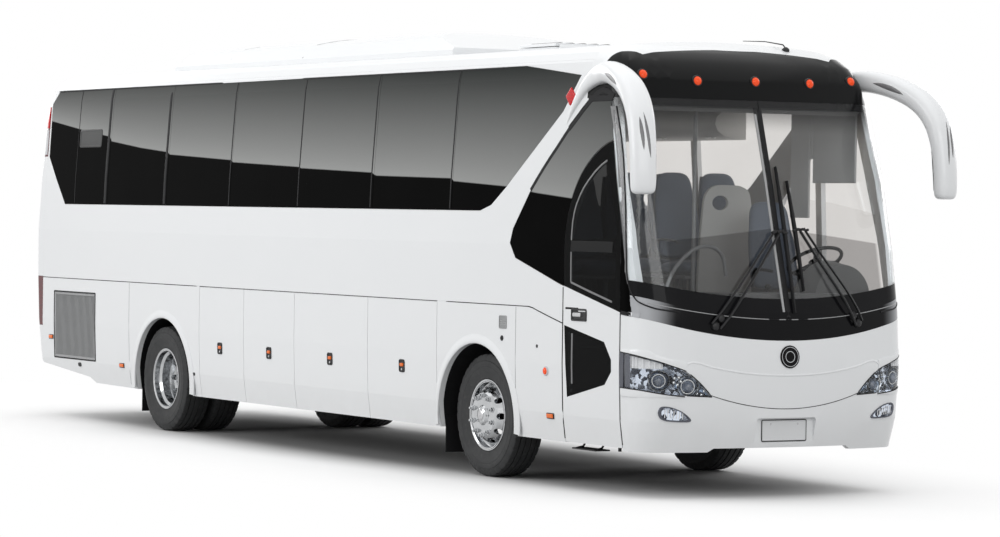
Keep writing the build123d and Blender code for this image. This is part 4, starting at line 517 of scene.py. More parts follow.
class Shape:
    """Collects rings, tubes and blocks into one mesh piece."""

    def __init__(self):
        self.verts = []
        self.faces = []

    def rings(self, rings, closed=True, caps=True, loop=False):
        base = len(self.verts)
        n = len(rings[0])
        for ring in rings:
            self.verts += [Vector(p) for p in ring]
        for i in range(len(rings) if loop else len(rings) - 1):
            a, b = base + i * n, base + (i + 1) % len(rings) * n
            for j in range(n if closed else n - 1):
                k = (j + 1) % n
                self.faces.append((a + j, a + k, b + k, b + j))
        if caps and closed and not loop:
            self.faces.append(tuple(range(base, base + n)))
            self.faces.append(tuple(range(base + (len(rings) - 1) * n, base + len(rings) * n)))
        return self

    def tube(self, points, radius, n=12, loop=False, flat=1.0):
        """A round bar along points; radius may be one number or one for each point."""
        points = [Vector(p) for p in points]
        count = len(points)
        radii = radius if hasattr(radius, "__len__") else [radius] * count
        rings = []
        side = None
        for i, p in enumerate(points):
            along = heading(points, i, loop)
            if side is None:
                side = along.cross(UP if abs(along.z) < 0.9 else FORWARD).normalized()
            side = (side - along * side.dot(along)).normalized()
            up = along.cross(side)
            rings.append([
                p + side * radii[i] * math.cos(a) + up * radii[i] * flat * math.sin(a) for a in angles(n)
            ])
        return self.rings(rings, loop=loop)

    def lathe(self, profile, centre, axis, n=48, loop=False):
        """Turns a profile of radius and offset along axis about centre."""
        axis = Vector(axis).normalized()
        a = axis.cross(UP if abs(axis.z) < 0.9 else FORWARD).normalized()
        b = axis.cross(a)
        centre = Vector(centre)
        rings = [
            [centre + axis * offset + (a * math.cos(w) + b * math.sin(w)) * radius for w in angles(n)]
            for radius, offset in profile
        ]
        return self.rings(rings, caps=not loop, loop=loop)

    def block(self, low, high, bevel):
        """An upright block whose edges are chamfered."""
        (x0, y0, z0), (x1, y1, z1) = low, high
        c = min(bevel, (x1 - x0) / 2.01, (y1 - y0) / 2.01, (z1 - z0) / 2.01)
        rings = []
        for z, k in ((z0, c), (z0 + c, 0), (z1 - c, 0), (z1, c)):
            cut = 0 if k else c
            rings.append([
                (x0 + k + cut, y0 + k, z), (x1 - k - cut, y0 + k, z), (x1 - k, y0 + k + cut, z),
                (x1 - k, y1 - k - cut, z), (x1 - k - cut, y1 - k, z), (x0 + k + cut, y1 - k, z),
                (x0 + k, y1 - k - cut, z), (x0 + k, y0 + k + cut, z),
            ])
        return self.rings(rings)

    def make(self, name, mat, body=CHASSIS, sharp=35.0):
        return solid(name, self.verts, self.faces, mat, body, sharp)


def heading(points, i, loop=False):
    """The direction of a path at one of its points."""
    count = len(points)
    before = points[(i - 1) % count] if loop or i else points[i]
    after = points[(i + 1) % count] if loop or i < count - 1 else points[i]
    return (after - before).normalized()


def skin_tree(names):
    verts, faces = [], []
    for name in names:
        data = NODES[name].data
        base = len(verts)
        verts += [v.co.copy() for v in data.vertices]
        faces += [[base + i for i in p.vertices] for p in data.polygons]
    return BVHTree.FromPolygons(verts, faces)


LUGGAGE_DOORS = [f"luggage_door_{s}_{i}" for s, _ in SIDES for i in (1, 2, 3, 4)]
SKIN = skin_tree([
    "side_walls", "side_skirts", "side_glass", "entrance_door", "entrance_door_glass", "front_bumper", "front_mask",
    "front_lamps", "wiper_panel", "windscreen", "front_cap", "roof_panel", "roof_pod", "tail_lamps", "rear_wall",
    "engine_hatch", "rear_window", "rear_bumper", "radiator_grilles", *LUGGAGE_DOORS,
])
# For each face: where its rays start, which way they run, and its across and up directions.
VIEW_AXES = {
    face: tuple(Vector(v) for v in axes) for face, axes in {
        "right": ((0, -2, 0), (0, 1, 0), (1, 0, 0), (0, 0, 1)),
        "left": ((0, 2, 0), (0, -1, 0), (1, 0, 0), (0, 0, 1)),
        "front": ((8, 0, 0), (-1, 0, 0), (0, 1, 0), (0, 0, 1)),
        "rear": ((-8, 0, 0), (1, 0, 0), (0, 1, 0), (0, 0, 1)),
        "top": ((0, 0, 5), (0, 0, -1), (1, 0, 0), (0, 1, 0)),
    }.items()
}
# How far a ray runs to the skin, as a guess where it misses, and how far to the middle of the body.
REACH = {"right": 0.75, "left": 0.75, "front": 2.2, "rear": 1.85, "top": 1.4}
MIDDLE = {"right": 2.0, "left": 2.0, "front": 8.0, "rear": 8.0, "top": 3.0}
# More than the widest gap between panels.
PANEL_GAP = 0.008


def on(face, a, b):
    """The skin's point and outward normal, at a across and b up as seen on that face."""
    start, way, across, up = VIEW_AXES[face]
    aim = start + across * a + up * b
    hit, normal, _, depth = SKIN.ray_cast(aim, way)
    if hit is not None and depth > MIDDLE[face]:
        # the ray slipped through the gap between two panels and reached the far side
        hit = None
        for step in (across, -across, up, -up):
            _, near_normal, _, near_depth = SKIN.ray_cast(aim + step * PANEL_GAP, way)
            if near_depth is not None and near_depth < MIDDLE[face]:
                hit, normal = aim + way * near_depth, near_normal
                break
    if hit is None:
        hit, normal, _, _ = SKIN.find_nearest(aim + way * REACH[face])
    return hit, (normal if normal.dot(way) < 0 else -normal)


def rounded(width, height, radius, steps=5):
    """Closed outline of a rounded rectangle round 0, 0."""
    radius = max(1e-4, min(radius, width / 2 - 1e-4, height / 2 - 1e-4))
    points = []
    for cx, cy, start in ((1, 1, 0), (-1, 1, 90), (-1, -1, 180), (1, -1, 270)):
        for i in range(steps + 1):
            w = math.radians(start + 90 * i / steps)
            points.append((
                cx * (width / 2 - radius) + radius * math.cos(w),
                cy * (height / 2 - radius) + radius * math.sin(w),
            ))
    return points


def boss(face, spot, size, levels, tilt=0.0, follow=True, shape=None):
    """A raised rounded block on the skin: its place across and up, and its width, height and corner radius.
    levels are pairs of inset from its outline and height above the skin, along the normal at its middle."""
    (a, b), (width, height, radius) = spot, size
    hit, normal = on(face, a, b)
    _, _, across, up = VIEW_AXES[face]
    c, s = math.cos(tilt), math.sin(tilt)
    right = (across - normal * across.dot(normal)).normalized()
    upward = (up - normal * up.dot(normal) - right * up.dot(right)).normalized()
    rings = []
    for inset, lift in levels:
        ring = []
        for p, q in rounded(width - 2 * inset, height - 2 * inset, radius - inset):
            u, v = p * c - q * s, p * s + q * c
            point = on(face, a + u, b + v)[0] if follow else hit + right * u + upward * v
            ring.append(point + normal * lift)
        rings.append(ring)
    return (shape or Shape()).rings(rings)


def strip(face, path, width, height, depth=0.004, loop=False, arch=True, shape=None):
    """A moulding that follows the skin along a path, half round or flat on top."""
    steps = 6
    found = [on(face, a, b) for a, b in path]
    points = [p for p, _ in found]
    rings = []
    for i, (p, normal) in enumerate(found):
        side = heading(points, i, loop).cross(normal).normalized()
        ring = [p - side * width / 2 - normal * depth]
        for j in range(steps + 1):
            w = math.pi * j / steps
            lift = height * (math.sin(w) ** (1.0 if arch else 0.35))
            ring.append(p - side * width / 2 * math.cos(w) + normal * lift)
        ring.append(p + side * width / 2 - normal * depth)
        rings.append(ring)
    return (shape or Shape()).rings(rings, loop=loop)


def curve(points, steps=8, loop=False):
    """Catmull-Rom points through the given ones."""
    pts = [Vector(p) for p in points]
    n = len(pts)
    out = []
    for i in range(n if loop else n - 1):
        p0 = pts[(i - 1) % n] if loop or i else pts[0]
        p1, p2 = pts[i], pts[(i + 1) % n]
        p3 = pts[(i + 2) % n] if loop or i + 2 < n else pts[-1]
        bend, twist = 2 * p0 - 5 * p1 + 4 * p2 - p3, 3 * p1 - p0 - 3 * p2 + p3
        for j in range(steps):
            t = j / steps
            out.append(0.5 * (2 * p1 + (p2 - p0) * t + bend * t ** 2 + twist * t ** 3))
    if not loop:
        out.append(pts[-1])
    return out


def flat_piece(name, outline, out, lift, mat, body=CHASSIS):
    """A thin piece over a closed outline of points, from just under the skin to lift above it."""
    rings = [[p - out * 0.004 for p in outline], [p + out * lift for p in outline]]
    return Shape().rings(rings).make(name, mat, body, sharp=40)


def pad_ring(half_w, half_t, n=20, power=2.6):
    """A soft rounded section, wide and thin, with its corners pulled in."""
    return [
        tuple(half * math.copysign(abs(v) ** (2 / power), v)
              for half, v in ((half_w, math.cos(w)), (half_t, math.sin(w))))
        for w in angles(n)
    ]


# ---- camera, floor and light ------------------------------------------------------
EYE = Vector((28.8966, -16.034, 2.2395))
YAW, PITCH, ROLL = 2.6162, -0.0169, 0.0147
FOCAL_PX, CENTRE_PX, CENTRE_PY = 3553.94, 491.22, 268.69
FRAME_W, FRAME_H = 1000.0, 537.0

ahead = Vector((math.cos(PITCH) * math.cos(YAW), math.cos(PITCH) * math.sin(YAW), math.sin(PITCH)))
level = Vector((math.sin(YAW), -math.cos(YAW), 0))
over = level.cross(ahead)
cam_x = level * math.cos(ROLL) + over * math.sin(ROLL)
cam_y = over * math.cos(ROLL) - level * math.sin(ROLL)
lens = bpy.data.cameras.new("photo_camera")
lens.sensor_width = 36.0
lens.lens = FOCAL_PX / FRAME_W * lens.sensor_width
lens.shift_x = (FRAME_W / 2 - CENTRE_PX) / FRAME_W
lens.shift_y = (CENTRE_PY - FRAME_H / 2) / FRAME_W
lens.clip_end = 2000.0
camera = link("photo_camera", lens)
camera.matrix_world = Matrix((
    (cam_x.x, cam_y.x, -ahead.x, EYE.x),
    (cam_x.y, cam_y.y, -ahead.y, EYE.y),
    (cam_x.z, cam_y.z, -ahead.z, EYE.z),
    (0, 0, 0, 1),
))
bpy.context.scene.camera = camera
bpy.context.scene.view_settings.view_transform = "Standard"

AMBIENT = 0.72
world = bpy.data.worlds.new("studio")
bpy.context.scene.world = world
t = Tree(world)
background = t.nt.nodes["Background"].inputs
background["Color"].default_value = (1.0, 1.0, 1.0, 1.0)
t.set(background["Strength"], t.math("MULTIPLY_ADD", t.seen(), 1.0 - AMBIENT, AMBIENT))

# The floor is grey under the coach as a painted shadow, paler round it, and plain white further out.
t = Surface("studio_floor")
x, y, _ = t.split(t.at)
reach = t.math("SQRT", t.plus(t.math("POWER", t.times(x, 0.27), 2.0), t.math("POWER", y, 2.0)))
pale = t.mix(t.noise(t.at, 0.8, 3.0), (0.90, 0.90, 0.90), (0.93, 0.93, 0.93))
# painted shadow: dark grey under the coach
pale = t.mix(t.step(reach, 0.9, 2.0), (0.34, 0.34, 0.34), pale)
seen = t.seen()
t.done(Base_Color=t.mix(seen, (0.40, 0.40, 0.40), pale), Roughness=0.9, Specular_IOR_Level=0.1)
glow = t.add("ShaderNodeEmission", {"Color": (1.0, 1.0, 1.0), "Strength": 1.0})
t.show(t.mix_shader(t.times(t.step(reach, 1.5, 3.5), seen), t.shader, glow))
bpy.ops.mesh.primitive_plane_add(size=1200.0)
floor = bpy.context.object
floor.name = "studio_floor"
floor.data.materials.append(t.material)

LAMPS = (
    # name, place, aim, size and power
    ("overhead", (0, 0, 12), (0, 0, 0), (26, 15), 620),
    ("side_fill", (-2, -17, 7), (0, 0, 1.5), (16, 6), 1150),
    ("far_fill", (-2, 17, 7), (0, 0, 1.5), (16, 6), 700),
    ("rear_fill", (-17, 0, 6), (-4, 0, 1.5), (9, 5), 300),
    ("front_fill", (17, -3, 6), (3, 0, 1.5), (9, 5), 330),
)
for name, at, towards, size, power in LAMPS:
    data = bpy.data.lights.new(name, "AREA")
    data.shape = "RECTANGLE"
    data.size, data.size_y = size
    data.energy = power
    obj = link(name, data)
    obj.location = at
    obj.rotation_euler = (Vector(towards) - Vector(at)).to_track_quat("-Z", "Y").to_euler()

# ---- finishes of the carried-over nodes -----------------------------------------------
NODE_FINISH = {
    "windscreen": "screen", "entrance_door_glass": "door_glass", "rear_window": "rear_glass",
    "radiator_grilles": "slat_grey", "side_walls": "panel_paint", "roof_panel": "panel_paint",
    "rear_wall": "panel_paint", "tail_lamps": "lamp_dark_red", "front_lamps": "lens", "luggage_racks": "trim",
}
for name, obj in NODES.items():
    slot = obj.data.materials[0].name.split(".")[0]
    obj.data.materials[0] = MAT[NODE_FINISH.get(name, slot)]

SKIN_CREASE = 38.0


def smooth_copy(name):
    """A piece with a node's own shape, shaded as one smooth skin."""
    data = NODES[name].data.copy()
    data.name = f"{name}_skin"
    data.materials.clear()
    bm = bmesh.new()
    bm.from_mesh(data)
    clean(bm, 2e-5)
    bm.to_mesh(data)
    bm.free()
    for layer in [a for a in data.attributes if a.name == "custom_normal"]:
        data.attributes.remove(layer)
    crisp(data, SKIN_CREASE)
    return link(f"{name}_skin", data)


# The cap's black face begins at a sloping plane through LIP_X, LIP_Z, which runs back beyond LIP_SPREAD each side.
LIP_X, LIP_Z, LIP_SLOPE = 5.09, 3.54, 0.7
LIP_SPREAD, LIP_FLARE = 0.9, 0.55
LIP_LOW = 3.27


def lip_depth(p):
    """How far a point of the cap lies behind the line where its black face begins."""
    return LIP_X - p.x + LIP_SLOPE * (LIP_Z - p.z) - LIP_FLARE * max(0.0, abs(p.y) - LIP_SPREAD)


def split_cap(obj):
    """The cap's mesh in two: the painted lip that carries the roof over it, and the black rest."""
    cuts = [((LIP_X, 0, LIP_Z), (1, 0, LIP_SLOPE)), ((0, 0, LIP_LOW), (0, 0, 1))]
    for side in (-1, 1):
        cuts.append(((0, LIP_SPREAD * side, 0), (0, 1, 0)))
        cuts.append(((LIP_X, LIP_SPREAD * side, LIP_Z), (1, LIP_FLARE * side, LIP_SLOPE)))
    halves = []
    for lip in (True, False):
        bm = bmesh.new()
        bm.from_mesh(obj.data)
        for at, normal in cuts:
            geometry = bm.verts[:] + bm.edges[:] + bm.faces[:]
            bmesh.ops.bisect_plane(bm, geom=geometry, plane_co=Vector(at), plane_no=Vector(normal))
        away = []
        for face in bm.faces:
            middle = face.calc_center_median()
            if (lip_depth(middle) > 0 and middle.z > LIP_LOW) != lip:
                away.append(face)
        bmesh.ops.delete(bm, geom=away, context="FACES")
        data = obj.data.copy()
        bm.to_mesh(data)
        bm.free()
        crisp(data, SKIN_CREASE)
        halves.append(link("front_cap_lip" if lip else "front_cap_skin", data))
    bpy.data.objects.remove(obj)
    return halves


cap_lip, cap_skin = split_cap(smooth_copy("front_cap"))
for piece, mat, name in (
    (cap_lip, "body_paint", "front_cap"), (cap_skin, "black_gloss", "front_cap"),
    (smooth_copy("front_bumper"), "body_paint", "front_bumper"),
    (smooth_copy("front_mask"), "body_paint", "front_mask"),
    (smooth_copy("wiper_panel"), "screen_band", "wiper_panel"),
):
    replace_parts(place(piece, mat, CHASSIS), name)

# ---- wheels and tyres --------------------------------------------------------------------
BEAD_RADIUS, TYRE_HALF = 0.2865, 0.145
TREAD_EDGE = 0.112
GROOVES = (-0.078, -0.027, 0.027, 0.078)
GROOVE_DEPTH, GROOVE_HALF = 0.011, 0.006
# Along the side wall: share of its height, and share of the tyre's half width.
SIDE_WALL = (
    (0.30, 0.90), (0.45, 0.965), (0.50, 0.972), (0.505, 0.985), (0.53, 0.985), (0.535, 0.978), (0.62, 1.0),
    (0.72, 0.985),
)
# Across one groove: offset from its middle, and depth.
GROOVE = (
    (GROOVE_HALF + 0.001, 0), (GROOVE_HALF, 0.001), (GROOVE_HALF * 0.6, GROOVE_DEPTH),
    (-GROOVE_HALF * 0.6, GROOVE_DEPTH), (-GROOVE_HALF, 0.001), (-GROOVE_HALF - 0.001, 0),
)
TYRE_STEPS, SLOT_EVERY, SLOT_DEPTH = 216, 6, 0.009
WHEEL_NUTS, NUT_CIRCLE = 10, 0.1675
HUB_BOLTS, HUB_CIRCLE = 8, {"front": 0.072, "rear": 0.066}
VALVE_ANGLE = 1.9


def tyre_profile(bead, top, edge):
    """A tyre's section from one bead to the other: radius, offset, and whether a shoulder slot cuts the point."""
    half = [(bead + r, o, 0) for r, o in ((0.002, 0.098), (0.004, 0.110), (0.016, 0.115), (0.020, 0.121))]
    half += [(bead + (top - bead) * share, edge * out, 0) for share, out in SIDE_WALL]
    half += [
        (top - 0.060, edge * 0.955, 0), (top - 0.056, edge * 0.968, 1), (top - 0.028, edge * 0.93, 1),
        (top - 0.008, TREAD_EDGE + 0.012, 1), (top - 0.004, TREAD_EDGE, 1),
    ]
    tread = []
    for g in reversed(GROOVES):
        crown = 0.004 * (abs(g) / TREAD_EDGE) ** 2
        tread += [(top - crown - dr, g + dt, 0) for dt, dr in GROOVE]
    inside = [
        (bead + 0.034, 0.092), ((top + bead) / 2, edge - 0.02), (top - 0.055, edge - 0.048),
        (top - 0.027, edge - 0.08),
    ]
    outline = half + tread + [(r, -o, cut) for r, o, cut in reversed(half)]
    return outline + [(r, -o, 0) for r, o in inside] + [(r, o, 0) for r, o in reversed(inside)]


def tyre(shape, centre, side, top):
    rings = []
    for radius, offset, cut in tyre_profile(BEAD_RADIUS, top, TYRE_HALF - 0.001):
        ring = []
        for j, w in enumerate(angles(TYRE_STEPS)):
            r = radius - (SLOT_DEPTH if cut and j % SLOT_EVERY == 0 else 0)
            ring.append(centre + Vector((r * math.cos(w), side * offset, r * math.sin(w))))
        rings.append(ring)
    return shape.rings(rings, loop=True)


def hexagon(shape, centre, axis, across, low, high, turn):
    a = axis.cross(UP).normalized()
    b = axis.cross(a)
    rings = []
    for offset, radius in ((low, across * 0.577), (high - 0.003, across * 0.577), (high, across * 0.5)):
        corners = (math.pi * j / 3 for j in range(6))
        rings.append([
            centre + axis * offset + (a * math.cos(turn + w) + b * math.sin(turn + w)) * radius for w in corners
        ])
    shape.rings(rings)


for side_name, side in SIDES:
    out = Vector((0, side, 0))
    for axle, wheel_node, tyre_node, body in (
        ("front", f"wheel_front_{side_name}", f"tyre_front_{side_name}", f"front_wheel_{side_name}"),
        ("rear", f"wheel_rear_{side_name}", f"tyres_rear_{side_name}", f"rear_wheels_{side_name}"),
    ):
        low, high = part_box(tyre_node)
        axis_x, axis_z = (low.x + high.x) / 2, (low.z + high.z) / 2
        top = (high.z - low.z) / 2
        outer, inner = (high.y, low.y) if side > 0 else (low.y, high.y)
        shape = Shape()
        tyre(shape, Vector((axis_x, outer - side * TYRE_HALF, axis_z)), side, top)
        if axle == "rear":
            tyre(shape, Vector((axis_x, inner + side * TYRE_HALF, axis_z)), side, top)
        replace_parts(shape.make(f"tyre_tread_{axle}_{side_name}", "tyre", body, 28), tyre_node)
        wheel = skin_tree([wheel_node])

        def face_of(radius, angle):
            """The wheel's outer face at a radius and angle."""
            start = Vector((axis_x + radius * math.cos(angle), side * 2.0, axis_z + radius * math.sin(angle)))
            return wheel.ray_cast(start, -out)[0]

        nuts, caps = Shape(), Shape()
        for k in range(WHEEL_NUTS):
            w = TURN * (k + 0.5) / WHEEL_NUTS
            at = face_of(NUT_CIRCLE, w)
            nuts.lathe([(0.0, -0.002), (0.024, -0.002), (0.024, 0.003), (0.021, 0.006), (0.0, 0.006)], at, out, 20)
            hexagon(nuts, at, out, 0.033, 0.005, 0.026, w)
            nuts.lathe([(0.0, 0.02), (0.0105, 0.02), (0.0105, 0.038), (0.008, 0.041), (0.0, 0.041)], at, out, 12)
        nuts.make(f"wheel_nuts_{axle}_{side_name}", "chrome", body)
        hub = face_of(0.0, 0.0)
        for w in angles(HUB_BOLTS):
            hexagon(caps, face_of(HUB_CIRCLE[axle], w), out, 0.015, -0.004, 0.008, w)
        caps.lathe([
            (0.0, -0.004), (0.045, -0.004), (0.045, 0.002), (0.040, 0.006), (0.030, 0.0075), (0.012, 0.008),
            (0.010, 0.011), (0.0, 0.0115),
        ], hub, out, 40)
        caps.make(f"hub_bolts_{axle}_{side_name}", "bright_steel", body)
        beads = Shape()
        beads.lathe(
            [(0.2835, -0.004), (0.2875, 0.003), (0.2855, 0.006), (0.281, 0.004), (0.279, -0.004)],
            (axis_x, face_of(0.281, 0.4).y, axis_z), out, 120, loop=True,
        )
        outward = Vector((math.cos(VALVE_ANGLE), 0, math.sin(VALVE_ANGLE)))
        root = face_of(0.245, VALVE_ANGLE)
        stem = [root + out * d + outward * r for d, r in ((-0.01, 0), (0.02, -0.004), (0.045, -0.012))]
        beads.tube(stem, [0.0065, 0.005, 0.004], 10)
        beads.make(f"rim_edge_{axle}_{side_name}", "bright_steel", body)

# ---- body sides ------------------------------------------------------------------------------
ARCHES = ((3.2, "front"), (-3.01, "rear"))
ARCH_R, ARCH_Z, ARCH_FOOT = 0.64, 0.475, 0.40
ARCH_WIDTH, ARCH_LIFT = 0.078, 0.011
# Across an arch's flare: share of its width, and share of its lift; below 0 is a depth in metres.
ARCH_SECTION = (
    (0.0, -0.01), (0.0, 0.45), (0.06, 0.85), (0.16, 1.0), (0.34, 0.97), (0.6, 0.62), (0.84, 0.2), (1.0, 0.0),
    (1.0, -0.01),
)
LAST_DOOR_X = 2.533
WALL_Y, SKIRT_Y = 1.275, 1.262


def arch_lip(cx, side):
    """A soft flare round a wheel arch, cut straight beside the luggage door."""
    rings = []
    start = math.asin((ARCH_FOOT - ARCH_Z) / ARCH_R)
    n = 72
    for i in range(n + 1):
        w = start + (math.pi - 2 * start) * i / n
        ring = []
        for share, lift in ARCH_SECTION:
            r = ARCH_R + ARCH_WIDTH * share
            x, z = cx + r * math.cos(w), ARCH_Z + r * math.sin(w)
            if cx > 0:
                x = max(x, LAST_DOOR_X)
            half = SKIRT_Y + 0.013 * min(1.0, (z - 0.36) / 0.55) if z < 0.95 else WALL_Y
            ring.append((x, side * (half + (lift if lift < 0 else lift * ARCH_LIFT)), z))
        rings.append(ring)
    return Shape().rings(rings)


SKIRT_LINE_Z = 1.449
SKIRT_RISE = ((4.05, SKIRT_LINE_Z), (4.12, 1.440), (4.2, 1.419), (4.4, 1.373), (4.59, 1.331))
PANEL_SEAMS = ((-3.805, 0.42, 1.44), (3.852, 0.40, 1.44))
MARKERS = ((-5.782, 0.826), (-3.982, 0.602), (4.401, 0.578))
HANDLES_X = (-1.703, -0.658, 0.567, 1.916)
PANE_Z, PANE_HEIGHT = 2.236, 1.166
PANE_BARS = (
    (-4.465, 0.055), (-3.035, 0.05), (-1.577, 0.018), (-0.135, 0.018), (1.275, 0.018), (2.705, 0.018),
    (-5.235, 0.012),
)
LOW_PAD = ((0, -0.003), (0, 0.005), (0.004, 0.008), (0.012, 0.009))
# Parts of the door handles, their place above the skirt, size, levels and material.
HANDLE_PARTS = (
    ("handle", 0.869, (0.100, 0.112, 0.020),
     ((0, -0.003), (0, 0.004), (0.003, 0.007), (0.010, 0.0075), (0.014, 0.002), (0.020, 0.0015)), "black_plastic"),
    ("latch", 0.878, (0.058, 0.030, 0.010), ((0, 0.0), (0.001, 0.008), (0.004, 0.011), (0.010, 0.012)), "amber"),
    ("lock", 0.838, (0.020, 0.020, 0.0099), ((0, 0.0), (0, 0.006), (0.002, 0.0075), (0.004, 0.0075)),
     "bright_steel"),
)
SIDE_LOCKS = (
    ((3.633, 1.175), (0.046, 0.046, 0.0229),
     ((0, -0.002), (0, 0.004), (0.004, 0.007), (0.012, 0.007), (0.013, 0.003), (0.018, 0.003))),
    ((4.196, 1.132), (0.028, 0.028, 0.0139), ((0, -0.002), (0, 0.003), (0.003, 0.005), (0.008, 0.005))),
    ((-2.292, 0.596), (0.050, 0.030, 0.0149), ((0, -0.002), (0, 0.004), (0.004, 0.006), (0.010, 0.006))),
)
SIDE_LAMP, REFLECTOR, VENT_PANE, GRILLE_LOCK = (4.340, 0.937), (4.556, 3.148), (-4.912, 2.903), (-5.051, 0.564)
TAIL_STRIP_X = -6.055
GRILLE_CORNERS = ((-5.70, 0.617), (-4.645, 0.617), (-4.645, 1.309), (-5.70, 1.309))
for side_name, side in SIDES:
    for cx, where in ARCHES:
        arch_lip(cx, side).make(f"arch_flare_{where}_{side_name}", "body_paint")
    lines, thin = Shape(), Shape()
    strip(side_name, stepped((-6.02, SKIRT_LINE_Z), (0.25, 0), 41) + [SKIRT_RISE[0]], 0.0075, 0.0025, shape=lines)
    strip(side_name, SKIRT_RISE, 0.0095, 0.002, shape=lines)
    for x, z0, z1 in PANEL_SEAMS:
        strip(side_name, spaced((x, z0), (x, z1), 8), 0.005, 0.0015, shape=thin)
    thin.make(f"panel_seams_{side_name}", "grey_rubber")
    lines.make(f"skirt_seams_{side_name}", "black_rubber")
    for k, at in enumerate(MARKERS):
        base = boss(side_name, at, (0.112, 0.048, 0.010),
                    ((0, -0.004), (0, 0.006), (0.004, 0.009), (0.006, 0.009), (0.007, 0.006)))
        cover = boss(side_name, at, (0.098, 0.034, 0.008),
                     ((0, 0.0), (0, 0.010), (0.003, 0.014), (0.008, 0.0155), (0.014, 0.016)))
        base.make(f"marker_base_{side_name}_{k}", "black_plastic")
        cover.make(f"marker_lens_{side_name}_{k}", "amber")
    for k, x in enumerate(HANDLES_X, 1):
        for part, z, size, levels, mat in HANDLE_PARTS:
            piece = boss(side_name, (x, z), size, levels)
            piece.make(f"luggage_{part}_{side_name}_{k}", mat, f"luggage_door_{side_name}_{k}")
    fittings = Shape()
    for at, size, levels in SIDE_LOCKS:
        boss(side_name, at, size, levels, shape=fittings)
    fittings.make(f"side_locks_{side_name}", "black_plastic")
    louvre = boss(side_name, (3.645, 1.308), (0.125, 0.110, 0.014),
                  ((0, -0.002), (0, 0.004), (0.006, 0.007), (0.010, 0.007), (0.011, 0.001)))
    louvre.make(f"side_vent_frame_{side_name}", "slat_grey")
    slats = Shape()
    for k in range(6):
        strip(side_name, stepped((3.593, 1.272 + 0.0145 * k), (0.013, 0), 9), 0.010, 0.006, 0.0, shape=slats)
    slats.make(f"side_vent_slats_{side_name}", "slat_grey")
    edge = boss(side_name, SIDE_LAMP, (0.078, 0.078, 0.0389),
                ((0, -0.003), (0, 0.007), (0.004, 0.011), (0.010, 0.011), (0.011, 0.006)))
    eye = boss(side_name, SIDE_LAMP, (0.058, 0.058, 0.0289),
               ((0, 0.0), (0, 0.012), (0.005, 0.018), (0.014, 0.0215), (0.022, 0.0225)))
    edge.make(f"side_lamp_rim_{side_name}", "white_lens")
    eye.make(f"side_lamp_eye_{side_name}", "orange")
    # the red lens glows faintly: a painted glow on this reflector, which is no lamp
    diamond = boss(side_name, REFLECTOR, (0.110, 0.110, 0.012), LOW_PAD, tilt=math.radians(45))
    diamond.make(f"shoulder_reflector_{side_name}", "lamp_red")
    # pane bars, frame line and the small vent pane at the back
    bars = strip(side_name, stepped((-5.98, 3.405), (0.2, 0), 48), 0.016, 0.003)
    for x, wide in PANE_BARS:
        strip(side_name, spaced((x, PANE_Z), (x, PANE_Z + PANE_HEIGHT), 12), wide, 0.003, arch=False, shape=bars)
    bars.make(f"pane_bars_{side_name}", "black_rubber")
    vent = boss(side_name, VENT_PANE, (0.56, 0.185, 0.03),
                ((0, -0.001), (0, 0.003), (0.008, 0.005), (0.016, 0.005), (0.018, 0.002), (0.03, 0.002)))
    vent.make(f"vent_pane_{side_name}", "vent_dark")
    # tail strip: red above, clear dotted below
    for part, z0, z1, mat in (("upper", 3.02, 3.24, "lamp_red"), ("lower", 2.74, 3.0, "white_lens")):
        tail = strip(side_name, spaced((TAIL_STRIP_X, z0), (TAIL_STRIP_X, z1), 8), 0.055, 0.008, arch=False)
        tail.make(f"tail_strip_{part}_{side_name}", mat)
    lock = boss(side_name, GRILLE_LOCK, (0.075, 0.042, 0.0209),
                ((0, -0.002), (0, 0.005), (0.004, 0.008), (0.012, 0.008), (0.014, 0.004)))
    lock.make(f"grille_lock_{side_name}", "black_plastic")
    grille = Shape()
    for corner, following in zip(GRILLE_CORNERS, GRILLE_CORNERS[1:] + GRILLE_CORNERS[:1]):
        strip(side_name, spaced(corner, following, 6), 0.016, 0.006, shape=grille)
    grille.make(f"grille_frame_{side_name}", "black_rubber")

# ---- entrance door and screen corners --------------------------------------------------------------
handle = boss("right", (4.84, 1.406), (0.235, 0.100, 0.014),
              ((0, -0.003), (0, 0.004), (0.004, 0.007), (0.012, 0.007), (0.016, 0.001), (0.03, 0.0005)))
lever = boss("right", (4.815, 1.406), (0.120, 0.034, 0.012),
             ((0, 0.0), (0.001, 0.010), (0.005, 0.014), (0.012, 0.0145)))
handle.make("door_handle_plate", "black_plastic", "entrance_door")
lever.make("door_handle_lever", "bright_steel", "entrance_door")
DOOR_SILL = (
    (4.600, 1.632), (4.600, 1.432), (4.630, 1.432), (4.630, 1.462), (4.830, 1.462), (4.830, 1.432),
    (5.448, 1.432), (5.448, 1.446), (5.032, 1.537),
)
flat_piece(
    "door_glass_sill", [Vector((x, -WALL_Y, z)) for x, z in DOOR_SILL], Vector((0, -1, 0)), 0.0012, "body_paint",
    "entrance_door",
)
SCREEN_BEAD = (
    (5.243, 1.214, 3.06), (5.335, 1.224, 2.83), (5.405, 1.234, 2.60), (5.462, 1.247, 2.322), (5.490, 1.258, 2.127),
    (5.517, 1.268, 1.933), (5.531, 1.271, 1.762), (5.557, 1.268, 1.670), (5.597, 1.259, 1.591),
    (5.634, 1.240, 1.544), (5.687, 1.215, 1.517), (5.735, 1.172, 1.495), (5.774, 1.114, 1.478),
    (5.818, 0.958, 1.457),
)
PILLAR_POINTS, PILLAR_WIDTH = 8, 0.078
